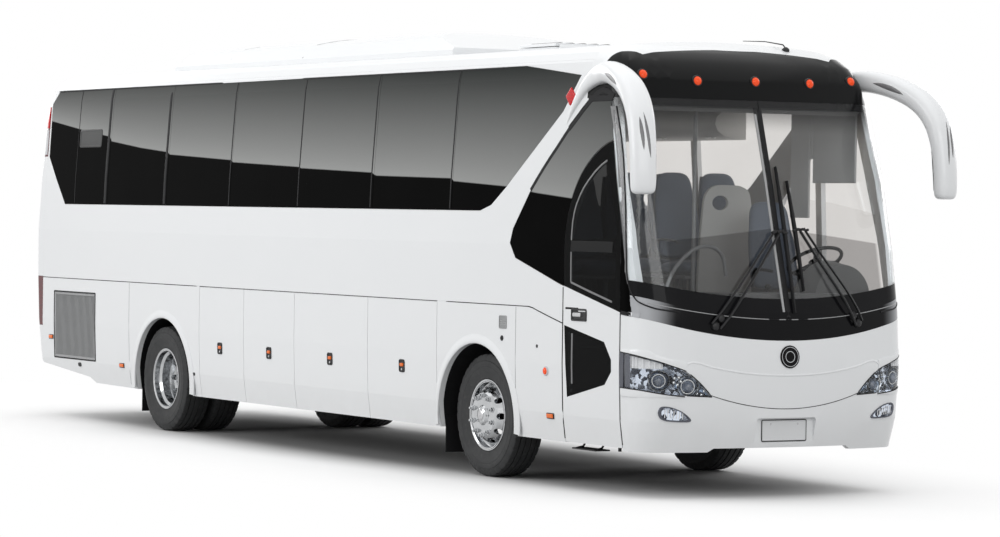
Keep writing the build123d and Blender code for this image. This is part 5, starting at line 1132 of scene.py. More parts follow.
for side_name, side in SIDES:
    line = [(x, y * side, z) for x, y, z in SCREEN_BEAD]
    bead = Shape().tube([SKIN.find_nearest(p)[0] for p in curve(line, 5)], 0.0065, 8)
    bead.make(f"screen_corner_bead_{side_name}", "black_rubber")
    # this corner takes the screen band's painted reflection and shows silver grey
    corner = strip(side_name, stepped((5.622, 1.572), (0, -0.0172), 10), 0.104, 0.002, arch=False)
    corner.make(f"screen_corner_{side_name}", "screen_band")
    foot = strip(side_name, stepped((5.462, 1.444), (0.0145, -0.0012), 10), 0.030, 0.002, arch=False)
    foot.make(f"screen_pillar_foot_{side_name}", "black_gloss")
    rings = []
    facing = Vector((0.2, side, 0)).normalized()
    for p in curve(line[:PILLAR_POINTS], 4):
        near, far = SKIN.find_nearest(p)[0], SKIN.find_nearest(p - FORWARD * PILLAR_WIDTH)[0]
        rings.append([near - facing * 0.004, near + facing * 0.003, far + facing * 0.003, far - facing * 0.004])
    Shape().rings(rings).make(f"screen_pillar_trim_{side_name}", "vent_trim", sharp=40)
    head = strip(side_name, stepped((4.83, 3.124), (0.04, 0), 10), 0.050, 0.003, arch=False)
    head.make(f"quarter_head_seal_{side_name}", "black_rubber")

DOOR_TRIM = (
    ((5.179, 2.633), (5.09, 2.592), (5.007, 2.541), (4.92, 2.475), (4.855, 2.418), (4.80, 2.352), (4.754, 2.281),
     (4.727, 2.215), (4.711, 2.143), (4.705, 2.06), (4.705, 1.998)),
    ((4.707, 1.905), (4.707, 1.78), (4.709, 1.665)),
    ((4.709, 1.662), (4.85, 1.629), (4.999, 1.595), (5.17, 1.558), (5.329, 1.523)),
)
trim_line = Shape()
for run in DOOR_TRIM:
    strip("right", run, 0.017, 0.004, shape=trim_line)
strip("right", stepped((4.738, 1.255), (0, -0.04), 11), 0.022, 0.003, shape=trim_line)
trim_line.make("door_glass_trim", "vent_trim", "entrance_door")
bar = strip("right", stepped((4.70, 1.952), (0.07, 0), 10), 0.085, 0.002, arch=False)
bar.make("door_glass_bar", "black_gloss", "entrance_door")
# Black edges of the quarter pane: path, width and height.
QUARTER_EDGES = (
    (((4.03, 2.395), (4.128, 2.49), (4.218, 2.578), (4.31, 2.662), (4.402, 2.742), (4.49, 2.822), (4.567, 2.890)),
     0.034, 0.003),
    (((4.567, 2.892), (4.66, 2.962), (4.76, 3.040), (4.86, 3.110), (4.95, 3.165), (5.03, 3.190), (5.11, 3.180),
      (5.20, 3.135)), 0.050, 0.004),
)
for side_name, side in SIDES:
    frit, seal = Shape(), Shape()
    for path, wide, lift in QUARTER_EDGES:
        strip(side_name, path, wide, lift, arch=False, shape=frit)
    frit.make(f"quarter_edge_{side_name}", "black_rubber")
    for x, z, rise in ((4.590, 0.41, 1.21), (5.456, 0.41, 1.04)):
        strip(side_name, spaced((x, z), (x, z + rise), 10), 0.011, 0.002, shape=seal)
    seal.make(f"front_joint_seams_{side_name}", "black_rubber")

# ---- roof ---------------------------------------------------------------------------------------
roof = strip("top", stepped((-1.0, -0.79), (0, 0.158), 11), 0.012, 0.003)
strip("top", stepped((-2.6, -0.76), (0, 0.152), 11), 0.008, 0.002, shape=roof)
roof.make("pod_seams", "grey_rubber")
p, _ = on("top", 5.02, 0.55)
aerial = Shape().lathe(
    [(0.0, -0.004), (0.032, -0.004), (0.032, 0.010), (0.022, 0.022), (0.010, 0.030), (0.0, 0.030)], p, UP, 24,
)
whip = [p + Vector((x, 0, z)) for x, z in ((0, 0.02), (-0.04, 0.05), (-0.30, 0.085), (-0.62, 0.10))]
aerial.tube(whip, [0.006, 0.0055, 0.004, 0.0028], 8)
aerial.make("aerial", "black_plastic")
low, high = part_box("roof_hatch")
hatch_bars = Shape()
for k in range(5):
    y = -0.24 + 0.12 * k
    hatch_bars.tube([
        (low.x + 0.05, y, high.z - 0.002), (low.x + 0.08, y, high.z + 0.004),
        (high.x - 0.08, y, high.z + 0.004), (high.x - 0.05, y, high.z - 0.002),
    ], 0.008, 8)
hatch_bars.make("roof_hatch_ribs", "grey_plastic", "roof_hatch")

# ---- front: forehead lamps, badge, plate, seams ------------------------------------------------
FOREHEAD_LAMPS = ((-1.0, 3.313), (-0.531, 3.273), (0.013, 3.281), (0.553, 3.282), (1.003, 3.313))
for k, (y, z) in enumerate(FOREHEAD_LAMPS):
    p, n = on("front", y, z)
    n = (n + Vector((0.8, 0, -0.1))).normalized()
    edge = Shape().lathe(
        [(0.0, -0.03), (0.047, -0.03), (0.047, 0.006), (0.043, 0.012), (0.036, 0.012), (0.035, 0.004)], p, n, 32,
    )
    eye = Shape().lathe([
        (0.0, 0.0), (0.036, 0.0), (0.036, 0.010), (0.031, 0.018), (0.020, 0.024), (0.008, 0.027), (0.0, 0.0275),
    ], p, n, 32)
    edge.make(f"forehead_lamp_rim_{k}", "black_plastic")
    eye.make(f"forehead_lamp_{k}", "orange")

# a plain round badge with two rings and no mark
p, n = on("front", 0.0, 1.109)
badge = Shape().lathe([
    (0.0, -0.004), (0.090, -0.004), (0.090, 0.006), (0.085, 0.010), (0.079, 0.010), (0.076, 0.007), (0.0, 0.007),
], p, n, 56)
ring = Shape().lathe([(0.074, 0.006), (0.078, 0.006), (0.078, 0.0095), (0.074, 0.0095)], p, n, 64, loop=True)
ring.lathe([(0.040, 0.006), (0.045, 0.006), (0.045, 0.009), (0.040, 0.009)], p, n, 48, loop=True)
badge.make("front_badge", "black_gloss")
ring.make("front_badge_rings", "chrome")

PLATE_Z = 0.527
plate = boss("front", (0.0, PLATE_Z), (0.416, 0.160, 0.010),
             ((0, -0.006), (0, 0.005), (0.004, 0.009), (0.009, 0.009), (0.011, 0.0065), (0.02, 0.0065)),
             follow=False)
plate.make("front_plate", "plate")
p, _ = on("front", 0.0, PLATE_Z)
edge = [(p.x + 0.004, a, PLATE_Z + b) for a, b in rounded(0.424, 0.168, 0.012, 4)]
Shape().tube(edge, 0.0035, 6, loop=True).make("front_plate_rim", "black_plastic")
bolts = Shape()
for y in (-0.13, 0.13):
    levels = ((0, 0.0), (0, 0.008), (0.002, 0.0105), (0.004, 0.011))
    boss("front", (y, 0.578), (0.016, 0.016, 0.0079), levels, follow=False, shape=bolts)
bolts.make("front_plate_bolts", "bright_steel")


def bowed(half, count, low, rise, width, power=2):
    """Points across the front that rise from low in the middle by rise at width."""
    ys = (-half + 2 * half * i / count for i in range(count + 1))
    return [(y, low + rise * (abs(y) / width) ** power) for y in ys]


strip("front", bowed(0.70, 40, 0.700, 0.112, 0.70), 0.006, 0.0018).make("bumper_seam", "black_rubber")
CREASE_END = ((0.80, 1.062), (0.86, 1.070), (0.90, 1.060), (0.93, 1.035))
run = [(-y, z) for y, z in reversed(CREASE_END)] + bowed(0.72, 36, 0.964, 0.092, 0.80, 2.2) + list(CREASE_END)
strip("front", run, 0.016, 0.0045).make("mask_crease", "body_paint")
strip("front", bowed(1.19, 60, 1.401, 0.088, 1.0), 0.007, 0.003).make("screen_base_bead", "slat_grey")


# ---- headlamps and fog lamps -----------------------------------------------------------------------
def lamp_islands(name):
    """The separate solids of a node, as lists of face corner points with their normals."""
    bm = bmesh.new()
    bm.from_mesh(NODES[name].data)
    clean(bm, 1e-5)
    left, groups = dict.fromkeys(bm.faces), []
    while left:
        stack, group = [left.popitem()[0]], []
        while stack:
            face = stack.pop()
            group.append(face)
            for other in (f for e in face.edges for f in e.link_faces):
                if other in left:
                    left.pop(other)
                    stack.append(other)
        groups.append([([v.co.copy() for v in f.verts], f.normal.copy()) for f in group])
    bm.free()
    return groups


def loop_edges(faces, start):
    """The longest outline of an open patch of faces, in order from the point nearest to start."""
    pairs = []
    for corners, _ in faces:
        keys = [tuple(round(c, 5) for c in p) for p in corners]
        pairs += zip(keys, keys[1:] + keys[:1])
    edges = set(pairs)
    following = {a: b for a, b in pairs if (b, a) not in edges}
    best = []
    while following:
        loop, at = [], next(iter(following))
        while at in following:
            loop.append(at)
            at = following.pop(at)
        best = max(best, loop, key=len)
    best = [Vector(p) for p in best]
    first = best.index(min(best, key=lambda p: (p - start).length))
    return best[first:] + best[:first]


def patch(name, faces, mat, sink=0.0):
    """A piece made of a node's faces, each sunk along its normal."""
    verts, polys = [], []
    for corners, normal in faces:
        polys.append(range(len(verts), len(verts) + len(corners)))
        verts += [c - normal * sink for c in corners]
    return solid(name, verts, polys, mat, sharp=50)


HEADLAMP_LOW, SIDE_BAND_X = 0.75, 5.60
# Where each lamp's outline starts. It decides how the shell's back is split into triangles.
OUTLINE_STARTS = {
    "headlamp_left": (5.8793, 0.7182, 0.8311), "headlamp_right": (5.8326, -1.0242, 1.0639),
    "foglamp_left": (5.7374, 1.0938, 0.7099), "foglamp_right": (5.8244, -0.9884, 0.7149),
}


def bare_edge(p):
    """Whether a point of the headlamp's outline lies outside its painted brow and sill."""
    return not ((p.z > 0.94 and p.x < 5.862) or (p.z < 0.88 and p.x < 5.840))


def gasket(outline):
    """A thin seal along the bare parts of an outline."""
    bare = [bare_edge(p) for p in outline]
    runs, seal = [], Shape()
    for i, p in enumerate(outline):
        if bare[i]:
            if not (i and bare[i - 1]):
                runs.append([])
            runs[-1].append(p)
    if len(runs) > 1 and bare[0] and bare[-1]:
        runs[0] = runs.pop() + runs[0]
    for run in runs:
        if len(run) > 1:
            seal.tube(run, 0.0045, 6)
    return seal


for faces in lamp_islands("front_lamps"):
    centre = sum((c for cs, _ in faces for c in cs), Vector()) / sum(len(cs) for cs, _ in faces)
    side_name, side = SIDES[centre.y > 0]
    head = centre.z > HEADLAMP_LOW
    name = "headlamp" if head else "foglamp"
    look = Vector((0.75, 0.65 * side, 0)).normalized()
    front = [(cs, normal) for cs, normal in faces if normal.dot(look) > 0.3]
    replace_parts(patch(f"{name}_cover_{side_name}", front, "lens"), "front_lamps")
    outline = loop_edges(front, Vector(OUTLINE_STARTS[f"{name}_{side_name}"]))
    middle = sum(outline, Vector()) / len(outline)
    if head:
        gasket(outline).make(f"{name}_gasket_{side_name}", "black_rubber")
    # a shell set back behind the cover, open to the front
    inward = Vector((-0.75, -0.5 * side, 0)).normalized() * (0.10 if head else 0.05)
    shell = Shape().rings([
        [p + (middle - p) * shrink + inward * back for p in outline]
        for shrink, back in ((0.01, 0.0), (0.02, 0.4), (0.06, 1.0))
    ])
    shell.faces.pop(-2)
    shell.make(f"{name}_shell_{side_name}", "lamp_chrome" if head else "black_plastic", sharp=20)
    band = [(cs, normal) for cs, normal in front if sum(c.x for c in cs) / len(cs) < SIDE_BAND_X]
    if head and band:
        patch(f"headlamp_side_band_{side_name}", band, "lamp_dark", 0.006)


def bowl(shape, at, axis, radius, depth):
    """An open reflector bowl facing along axis."""
    steps = 9
    quarter = [math.pi / 2 * i / steps for i in range(1, steps + 1)]
    inner = [(radius * math.sin(w), -depth * math.cos(w)) for w in quarter]
    outer = [(r + 0.004, o - 0.004) for r, o in reversed(inner)]
    shape.lathe([(0.0005, -depth)] + inner + outer + [(0.0005, -depth - 0.004)], at, axis, 40)


# The painted lids over the lamp's corners: where they end on the glass, as seen on the left side.
LAMP_BROW = (
    (5.475, 1.2755, 1.139), (5.542, 1.2755, 1.133), (5.610, 1.268, 1.126), (5.666, 1.249, 1.117),
    (5.753, 1.188, 1.093), (5.800, 1.124, 1.072), (5.829, 1.045, 1.045), (5.845, 0.977, 1.023),
    (5.858, 0.920, 1.002),
)
LAMP_SILL = (
    (5.475, 1.2755, 0.862), (5.542, 1.2755, 0.860), (5.610, 1.268, 0.857), (5.668, 1.244, 0.853),
    (5.753, 1.181, 0.839), (5.806, 1.095, 0.823), (5.832, 1.010, 0.812), (5.845, 0.920, 0.803),
)
BROW_TOP, BROW_BEND_X, SILL_FOOT = 1.162, 5.740, 0.795
SIGNAL_X, SIGNAL_FOOT = (5.60, 5.812), 1.018
MAIN_LAMPS = ((1.125, 0.925, 0.078), (0.895, 0.880, 0.084))
SMALL_LAMPS = ((0.985, 0.925, 0.785), (0.79, 0.845, 0.6))
LAMP_END = ((5.459, 1.138), (5.514, 1.134), (5.514, 0.862), (5.459, 0.864))
FOG_Y, FOG_Z = 1.0, 0.67
FOG_OUTLINE = (
    (-0.124, 0.010), (-0.116, 0.044), (-0.086, 0.058), (-0.02, 0.050), (0.055, 0.022), (0.110, -0.014),
    (0.142, -0.048), (0.122, -0.064), (0.02, -0.063), (-0.06, -0.056), (-0.102, -0.040), (-0.120, -0.012),
)
# Rings of the fog lamp's bezel and of its reflector: share of the outline, and lift.
FOG_BEZEL = ((1.0, -0.004), (1.0, 0.006), (0.96, 0.011), (0.86, 0.011), (0.80, 0.0045), (0.78, 0.0))
FOG_REFLECTOR = ((0.80, 0.0040), (0.6, 0.0045), (0.3, 0.0048), (0.05, 0.005))
FOG_PATCH = [(0, -0.004), (0, 0.0006)] + [(s, 0.0008) for s in (0.008, 0.016, 0.026, 0.036, 0.048, 0.060, 0.068)]


def brow_rim(p):
    top = BROW_TOP - 0.75 * max(0.0, p.x - BROW_BEND_X)
    return Vector((p.x, p.y, max(p.z + 0.012, top)))


def sill_rim(p):
    return Vector((p.x, p.y, SILL_FOOT))


for side_name, side in SIDES:
    look = Vector((0.93, 0.36 * side, 0)).normalized()
    bowls, rims, bulbs = Shape(), Shape(), Shape()
    for y, z, radius in MAIN_LAMPS:
        p = on("front", side * y, z)[0] - look * 0.030
        bowl(bowls, p, look, radius, 0.065)
        rims.lathe([
            (radius - 0.002, -0.004), (radius + 0.007, -0.004), (radius + 0.007, 0.004), (radius + 0.003, 0.009),
            (radius - 0.002, 0.005),
        ], p, look, 48, loop=True)
        bulbs.lathe([
            (0.0, -0.06), (radius * 0.56, -0.05), (radius * 0.6, -0.018), (radius * 0.52, 0.0),
            (radius * 0.34, 0.012), (radius * 0.15, 0.017), (0.0, 0.018),
        ], p, look, 36)
        rims.lathe([
            (radius * 0.60, -0.03), (radius * 0.68, -0.03), (radius * 0.68, -0.012), (radius * 0.60, -0.012),
        ], p, look, 40, loop=True)
    for y, z, tilt in SMALL_LAMPS:
        centre = on("front", side * y, z)[0] - look * 0.05
        sideways = look.cross(UP).normalized()
        for w in angles(5, tilt):
            c = centre + sideways * 0.03 * math.cos(w) + UP * 0.03 * math.sin(w)
            rims.lathe([(0.0, 0.012), (0.010, 0.008), (0.014, 0.0), (0.010, -0.006), (0.0, -0.008)], c, look, 6)
    bowls.make(f"headlamp_bowls_{side_name}", "reflector")
    rims.make(f"headlamp_rims_{side_name}", "chrome")
    bulbs.make(f"headlamp_projectors_{side_name}", "bulb")
    # ribbed turn signal under the painted brow, which gives the lamp its sloping upper edge
    brow, sill = (curve([(x, y * side, z) for x, y, z in line], 4) for line in (LAMP_BROW, LAMP_SILL))
    signal, rows = Shape(), []
    inset = Vector((-0.024, -0.016 * side, 0))
    for k, p in enumerate(q for q in brow if SIGNAL_X[0] < q.x < SIGNAL_X[1]):
        upper, lower = p + inset - Vector((0, 0, 0.012)), Vector((p.x, p.y, SIGNAL_FOOT)) + inset
        if k % 2 == 0:
            signal.tube([upper, (upper + lower) / 2, lower], 0.0075, 10)
        rows.append([upper + inset * 0.3, lower + inset * 0.3])
    signal.make(f"headlamp_signal_{side_name}", "signal_white")
    Shape().rings(rows, closed=False).make(f"headlamp_signal_back_{side_name}", "signal_white")
    for lid_name, line, rim in (("brow", brow, brow_rim), ("sill", sill, sill_rim)):
        rings = []
        for p in line:
            n = SKIN.find_nearest(p)[1]
            n = Vector((n.x, n.y, 0)).normalized()
            n = n if n.dot(look) > 0 else -n
            top = rim(p)
            rings.append([
                p - n * 0.012, p + n * 0.0045, p.lerp(top, 0.6) + n * 0.0045, top + n * 0.0006, top - n * 0.012,
            ])
        Shape().rings(rings).make(f"headlamp_{lid_name}_{side_name}", "body_paint", sharp=50)
        edge = [(ring[0] + ring[1]) / 2 + (ring[1] - ring[0]).normalized() * 0.007 for ring in rings]
        Shape().tube(edge, 0.0045, 8).make(f"headlamp_{lid_name}_line_{side_name}", "black_rubber")
    p = on("front", side * 0.895, 0.885)[0] - look * 0.030
    section = [(0.094, -0.03), (0.128, -0.010), (0.122, -0.004), (0.092, -0.018)]
    diamond = Shape().lathe(section, p, look, 4, loop=True)
    diamond.make(f"headlamp_diamond_{side_name}", "reflector")
    end = [Vector((x, 1.2745 * side, z)) for x, z in LAMP_END]
    flat_piece(f"headlamp_end_{side_name}", end, Vector((0, side, 0)), 0.0035, "lamp_dark")
    facets = Shape()
    for k in range(6):
        s = k / 5
        c = on("front", side * (0.805 - 0.085 * s), 0.86 - 0.040 * s)[0] - look * 0.035
        r = 0.022 - 0.012 * s
        dish = [(r * math.sin(a), 0.004 - 0.02 * math.cos(a)) for a in (0.4, 0.8, 1.2, 1.57)]
        facets.lathe([(0.0005, -0.02)] + dish + [(r + 0.004, 0.0), (r + 0.004, -0.02)], c, look, 6)
    facets.make(f"headlamp_facets_{side_name}", "reflector")
    # fog lamp in a teardrop bezel, on a blanking patch
    blank = boss("front", (side * FOG_Y, FOG_Z), (0.285, 0.140, 0.069), FOG_PATCH)
    blank.make(f"foglamp_patch_{side_name}", "body_paint")
    drop = curve([(q, r, 0) for q, r in FOG_OUTLINE], 4, loop=True)

    def drop_rings(levels):
        rings = []
        for scale, lift in levels:
            found = [on("front", side * (FOG_Y - q.x * scale), FOG_Z + q.y * scale) for q in drop]
            rings.append([point + n * lift for point, n in found])
        return rings

    Shape().rings(drop_rings(FOG_BEZEL), caps=False).make(f"foglamp_bezel_{side_name}", "lamp_dark")
    Shape().rings(drop_rings(FOG_REFLECTOR)).make(f"foglamp_reflector_{side_name}", "lamp_chrome")
    ribs = Shape()
    for k in range(7):
        q = -0.075 + 0.024 * k
        top, low = 0.034 - 0.010 * k * k / 12, -0.030 - 0.002 * k
        ends = [on("front", side * (FOG_Y - q), FOG_Z + r) for r in (low, (low + top) / 2, top)]
        ribs.tube([point + n * 0.007 for point, n in ends], 0.0035, 8)
    ribs.make(f"foglamp_ribs_{side_name}", "signal_white")


# ---- wipers ---------------------------------------------------------------------------------------------
def off_screen(y, z, lift):
    p, n = on("front", y, z)
    n = Vector((max(n.x, 0.3), n.y, n.z)).normalized()
    return p + n * lift


# side, the arm's pivot, its clip on the blade, and the blade's ends, all as y and z
WIPERS = (
    ("right", (-0.668, 1.350), (-0.020, 2.080), (0.060, 2.600), (0.050, 1.45)),
    ("left", (0.693, 1.370), (0.215, 2.100), (0.150, 2.49), (0.165, 1.62)),
)
BLADE_STEPS = 16
for side_name, pivot, clip, blade_top, blade_foot in WIPERS:
    arm, blade, pivots = Shape(), Shape(), Shape()
    across = 1 if clip[0] > pivot[0] else -1

    def at_clip(d, lift):
        return off_screen(clip[0] + d * across, clip[1] - abs(d) * 0.1, lift)

    for shift, radius in ((-0.034, 0.0125), (0.036, 0.011)):
        run = []
        for i in range(9):
            s = i / 8
            y = lerp(pivot[0], clip[0], s) - shift * (1 - 0.45 * s) * across
            z = lerp(pivot[1], clip[1], s) + shift * 0.55 * (1 - 0.45 * s)
            rise = 0.030 * math.sin(math.pi * min(1.0, s * 1.4)) * (1 - s)
            run.append(off_screen(y, z, 0.022 + rise + 0.016 * s))
        arm.tube(run, radius, 10, flat=0.8)
    for y, z in (pivot, (pivot[0] + 0.05 * across, pivot[1] + 0.06)):
        p, n = on("front", y, z)
        pivots.lathe([
            (0.0, -0.004), (0.034, -0.004), (0.034, 0.012), (0.028, 0.024), (0.016, 0.030), (0.0, 0.031),
        ], p, n, 28)
    cross = [at_clip(d, 0.038) for d in (-0.055, 0.0, 0.055, 0.09)]
    arm.tube(cross, 0.009, 10)
    for d in (-0.05, 0.0, 0.05):
        arm.tube([at_clip(d, 0.03), at_clip(d, 0.052)], 0.011, 12)
    line = spaced(blade_top, blade_foot, BLADE_STEPS)
    spine, rubber = ([off_screen(y, z, lift) for y, z in line] for lift in (0.024, 0.008))
    blade.tube(spine, [0.006 + 0.012 * math.sin(math.pi * i / BLADE_STEPS) for i in range(BLADE_STEPS + 1)], 8)
    blade.tube(rubber, 0.009, 8)
    for i in (2, 6, 10, 14):
        blade.tube([rubber[i], spine[i]], 0.006, 8)
    arm.tube([cross[1], (cross[1] + spine[7]) / 2 + Vector((0.01, 0, 0)), spine[7]], 0.009, 8)
    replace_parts(arm.make(f"wiper_arm_{side_name}", "black_plastic"), "wipers")
    blade.make(f"wiper_blade_{side_name}", "black_rubber")
    pivots.make(f"wiper_pivot_{side_name}", "black_plastic")

# ---- windscreen divider --------------------------------------------------------------------------------------
divider = strip("front", spaced((0.0, 1.42), (0.0, 3.05), 30), 0.052, 0.010, arch=False)
divider.make("screen_divider", "black_rubber")
trim_strip = strip("front", spaced((-0.045, 1.46), (-0.045, 3.02), 30), 0.022, 0.006, arch=False)
trim_strip.make("screen_divider_trim", "slat_grey")

# ---- mirrors -------------------------------------------------------------------------------------------
MIRROR_ROOT, MIRROR_TIP = Vector((4.79, 1.15, 0)), Vector((6.015, 1.44, 0))
# Along the arm: x, y and height of its centre, then half thickness in the arm's plane and across it.
ARM_STATIONS = (
    (4.515, 1.211, 2.925, 0.010, 0.012), (4.587, 1.209, 3.030, 0.028, 0.024), (4.692, 1.203, 3.149, 0.044, 0.034),
    (4.775, 1.199, 3.222, 0.056, 0.043), (4.90, 1.198, 3.285, 0.070, 0.056), (5.03, 1.208, 3.318, 0.082, 0.068),
    (5.23, 1.254, 3.322, 0.088, 0.080), (5.47, 1.311, 3.275, 0.090, 0.092), (5.685, 1.362, 3.192, 0.091, 0.100),
    (5.83, 1.396, 3.090, 0.089, 0.104), (5.924, 1.418, 2.965, 0.086, 0.105), (5.972, 1.429, 2.83, 0.080, 0.104),
    (5.997, 1.435, 2.70, 0.077, 0.102), (6.008, 1.438, 2.57, 0.076, 0.101), (6.012, 1.439, 2.47, 0.075, 0.099),
    (6.012, 1.439, 2.415, 0.072, 0.095), (6.012, 1.439, 2.385, 0.064, 0.086), (6.012, 1.439, 2.370, 0.045, 0.066),
    (6.012, 1.439, 2.366, 0.020, 0.035),
)
# Below this height the arm hangs straight down, as the head.
HEAD_TOP = 2.75
GLASS_OUT, GLASS_Z, GLASS_SIZE = 1.250, 2.595, (0.156, 0.33)
# Grooves on the head's front: y and z of both ends, and half width.
HEAD_GROOVES = ((1.500, 2.955, 1.492, 2.705, 0.014), (1.462, 2.99, 1.440, 2.645, 0.012))
GROOVE_EDGES = ((-1, 0.0), (-0.4, 0.0025), (0.4, 0.0025), (1, 0.0))


def groove_half(wide, s):
    """Half width of a groove that tapers to both ends, at a share s of its length."""
    return wide * math.sin(math.pi * s) ** 0.7 + 0.0008


def hit_or_near(skin, start, way, near):
    hit, n, _, _ = skin.ray_cast(start, way)
    if hit is None:
        hit, n, _, _ = skin.find_nearest(near)
    return hit, n


for side_name, side in SIDES:
    out = (MIRROR_TIP - MIRROR_ROOT).normalized()
    out = Vector((out.x, out.y * side, 0))
    across = Vector((-out.y, out.x, 0))
    root = Vector((MIRROR_ROOT.x, MIRROR_ROOT.y * side, 0))
    stations = curve([(x, y * side, z) for x, y, z, _, _ in ARM_STATIONS], 5)
    sizes = curve([(q, r, 0) for _, _, _, q, r in ARM_STATIONS], 5)
    rings, spine = [], []
    for i, (centre, size) in enumerate(zip(stations, sizes)):
        run = stations[min(len(stations) - 1, i + 1)] - stations[max(0, i - 1)]
        along = Vector((run.dot(out), run.z, 0)).normalized() if centre.z > HEAD_TOP else Vector((0, -1, 0))
        normal = out * -along.y + Vector((0, 0, along.x))
        spine.append((centre, normal))
        section = pad_ring(max(size.y, 0.004), max(size.x, 0.004), 28, 2.7)
        rings.append([centre + normal * q + across * p for p, q in section])
    shape = Shape().rings(rings)
    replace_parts(shape.make(f"mirror_{side_name}", "body_paint", sharp=60), "mirrors")
    skin = BVHTree.FromPolygons([tuple(v) for v in shape.verts], shape.faces)
    for part, mat, grow, depth in (
        ("mirror_glass", "mirror", 0.0, 0.0050), ("mirror_surround", "black_plastic", 0.009, 0.0035),
    ):
        rings = []
        for inset, lift in ((0.0, -0.010), (0.0, depth - 0.0012), (0.002, depth), (0.012, depth)):
            ring = []
            for p, q in rounded(*(size + 2 * grow - 2 * inset for size in GLASS_SIZE), 0.045, 6):
                start = root + out * GLASS_OUT - out * 0.5 + across * p + Vector((0, 0, GLASS_Z + q))
                hit = skin.ray_cast(start, out)[0] or (start + out * 0.42)
                ring.append(hit - out * lift)
            rings.append(ring)
        Shape().rings(rings).make(f"{part}_{side_name}", mat)
    # two grooves on the head and one slot on each face of the arm, as dark inlays: painted shade in place of their
    # depth
    grooves = Shape()
    for y0, z0, y1, z1, wide in HEAD_GROOVES:
        rows = []
        for i in range(11):
            s = i / 10
            row = []
            for share, lift in GROOVE_EDGES:
                y = side * lerp(y0, y1, s) * 0.985 + groove_half(wide, s) * share
                start = Vector((7.0, y, lerp(z0, z1, s)))
                hit, n = hit_or_near(skin, start, -FORWARD, Vector((6.08, start.y, start.z)))
                row.append(hit + (n if n.x > 0 else -n) * lift)
            rows.append(row)
        grooves.rings(rows, closed=False)
    arm_run = [(centre, normal) for centre, normal in spine if 5.30 < centre.x < 5.66 and centre.z > 3.1]
    for facing in (-across, across):
        rows = []
        for i, (centre, normal) in enumerate(arm_run):
            half = groove_half(0.020, i / (len(arm_run) - 1))
            row = []
            for share, lift in GROOVE_EDGES:
                start = centre + facing * 0.4 + normal * (half * share)
                row.append(hit_or_near(skin, start, -facing, start)[0] + facing * lift)
            rows.append(row)
        grooves.rings(rows, closed=False)
    grooves.make(f"mirror_grooves_{side_name}", "vent_trim", sharp=60)

# ---- rear ----------------------------------------------------------------------------------------------------
TAIL_EYES = ((1.02, "white_lens"), (1.14, "amber"), (1.26, "lamp_red"), (1.38, "lamp_red"))
for side_name, side in SIDES:
    for k, (z, mat) in enumerate(TAIL_EYES):
        p, _ = on("rear", side * 1.195, z)
        ring = Shape().lathe(
            [(0.041, -0.006), (0.048, -0.006), (0.048, 0.004), (0.045, 0.007), (0.041, 0.004)], p, -FORWARD, 36,
            loop=True,
        )
        eye = Shape().lathe(
            [(0.0, -0.006), (0.041, -0.006), (0.041, 0.002), (0.034, 0.007), (0.018, 0.0085), (0.0, 0.009)],
            p, -FORWARD, 36,
        )
        ring.make(f"tail_ring_{side_name}_{k}", "chrome")
        eye.make(f"tail_eye_{side_name}_{k}", mat)
    # the red lens glows faintly: a painted glow on this reflector, which is no lamp
    reflector = boss("rear", (side * 0.86, 0.56), (0.13, 0.05, 0.012), LOW_PAD, follow=False)
    reflector.make(f"bumper_reflector_{side_name}", "lamp_red")
louvres = Shape()
for k in range(11):
    z = 0.90 + 0.032 * k
    strip("rear", spaced((-0.62, z), (0.62, z), 20), 0.020, 0.010, arch=False, shape=louvres)
louvres.make("engine_hatch_louvres", "grey_plastic", "engine_hatch")
rear_plate = boss("rear", (0.0, 1.42), (0.52, 0.125, 0.012),
                  ((0, -0.006), (0, 0.001), (0.004, 0.004), (0.010, 0.004), (0.012, 0.0015), (0.02, 0.0015)),
                  follow=False)
rear_plate.make("rear_plate", "plate", "engine_hatch")
pull = boss("rear", (0.0, 1.30), (0.20, 0.055, 0.018),
            ((0, -0.003), (0, 0.006), (0.005, 0.012), (0.012, 0.012), (0.016, 0.004), (0.022, 0.003)),
            follow=False)
pull.make("engine_hatch_pull", "black_plastic", "engine_hatch")
outline = [(p, 2.65 + q) for p, q in rounded(2.02, 1.02, 0.09, 6)]
dense = []
for (a0, b0), (a1, b1) in zip(outline, outline[1:] + outline[:1]):
    steps = max(1, int(math.hypot(a1 - a0, b1 - b0) / 0.08))
    dense += spaced((a0, b0), (a1, b1), steps)[:-1]
strip("rear", dense, 0.030, 0.009, loop=True).make("rear_window_seal", "black_rubber")
stop = boss("rear", (0.0, 3.245), (0.62, 0.042, 0.016), ((0, -0.003), (0, 0.006), (0.004, 0.010), (0.014, 0.012)),
            follow=False)
stop.make("high_stop_lamp", "lamp_red")

# ---- seats -------------------------------------------------------------------------------------
# Along a pad's spine: place before the seat's x and above its floor, half thickness, and share of its width.
SEAT_BACK = (
    (0.025, 0.47, 0.030, 0.90), (0.012, 0.53, 0.050, 0.97), (-0.002, 0.62, 0.056, 1.0), (-0.018, 0.72, 0.054, 1.0),
    (-0.036, 0.82, 0.050, 0.99), (-0.052, 0.90, 0.044, 0.96), (-0.062, 0.95, 0.040, 0.90),
    (-0.080, 1.04, 0.046, 0.84), (-0.094, 1.12, 0.046, 0.80), (-0.104, 1.175, 0.034, 0.68),
    (-0.110, 1.20, 0.012, 0.40),
)
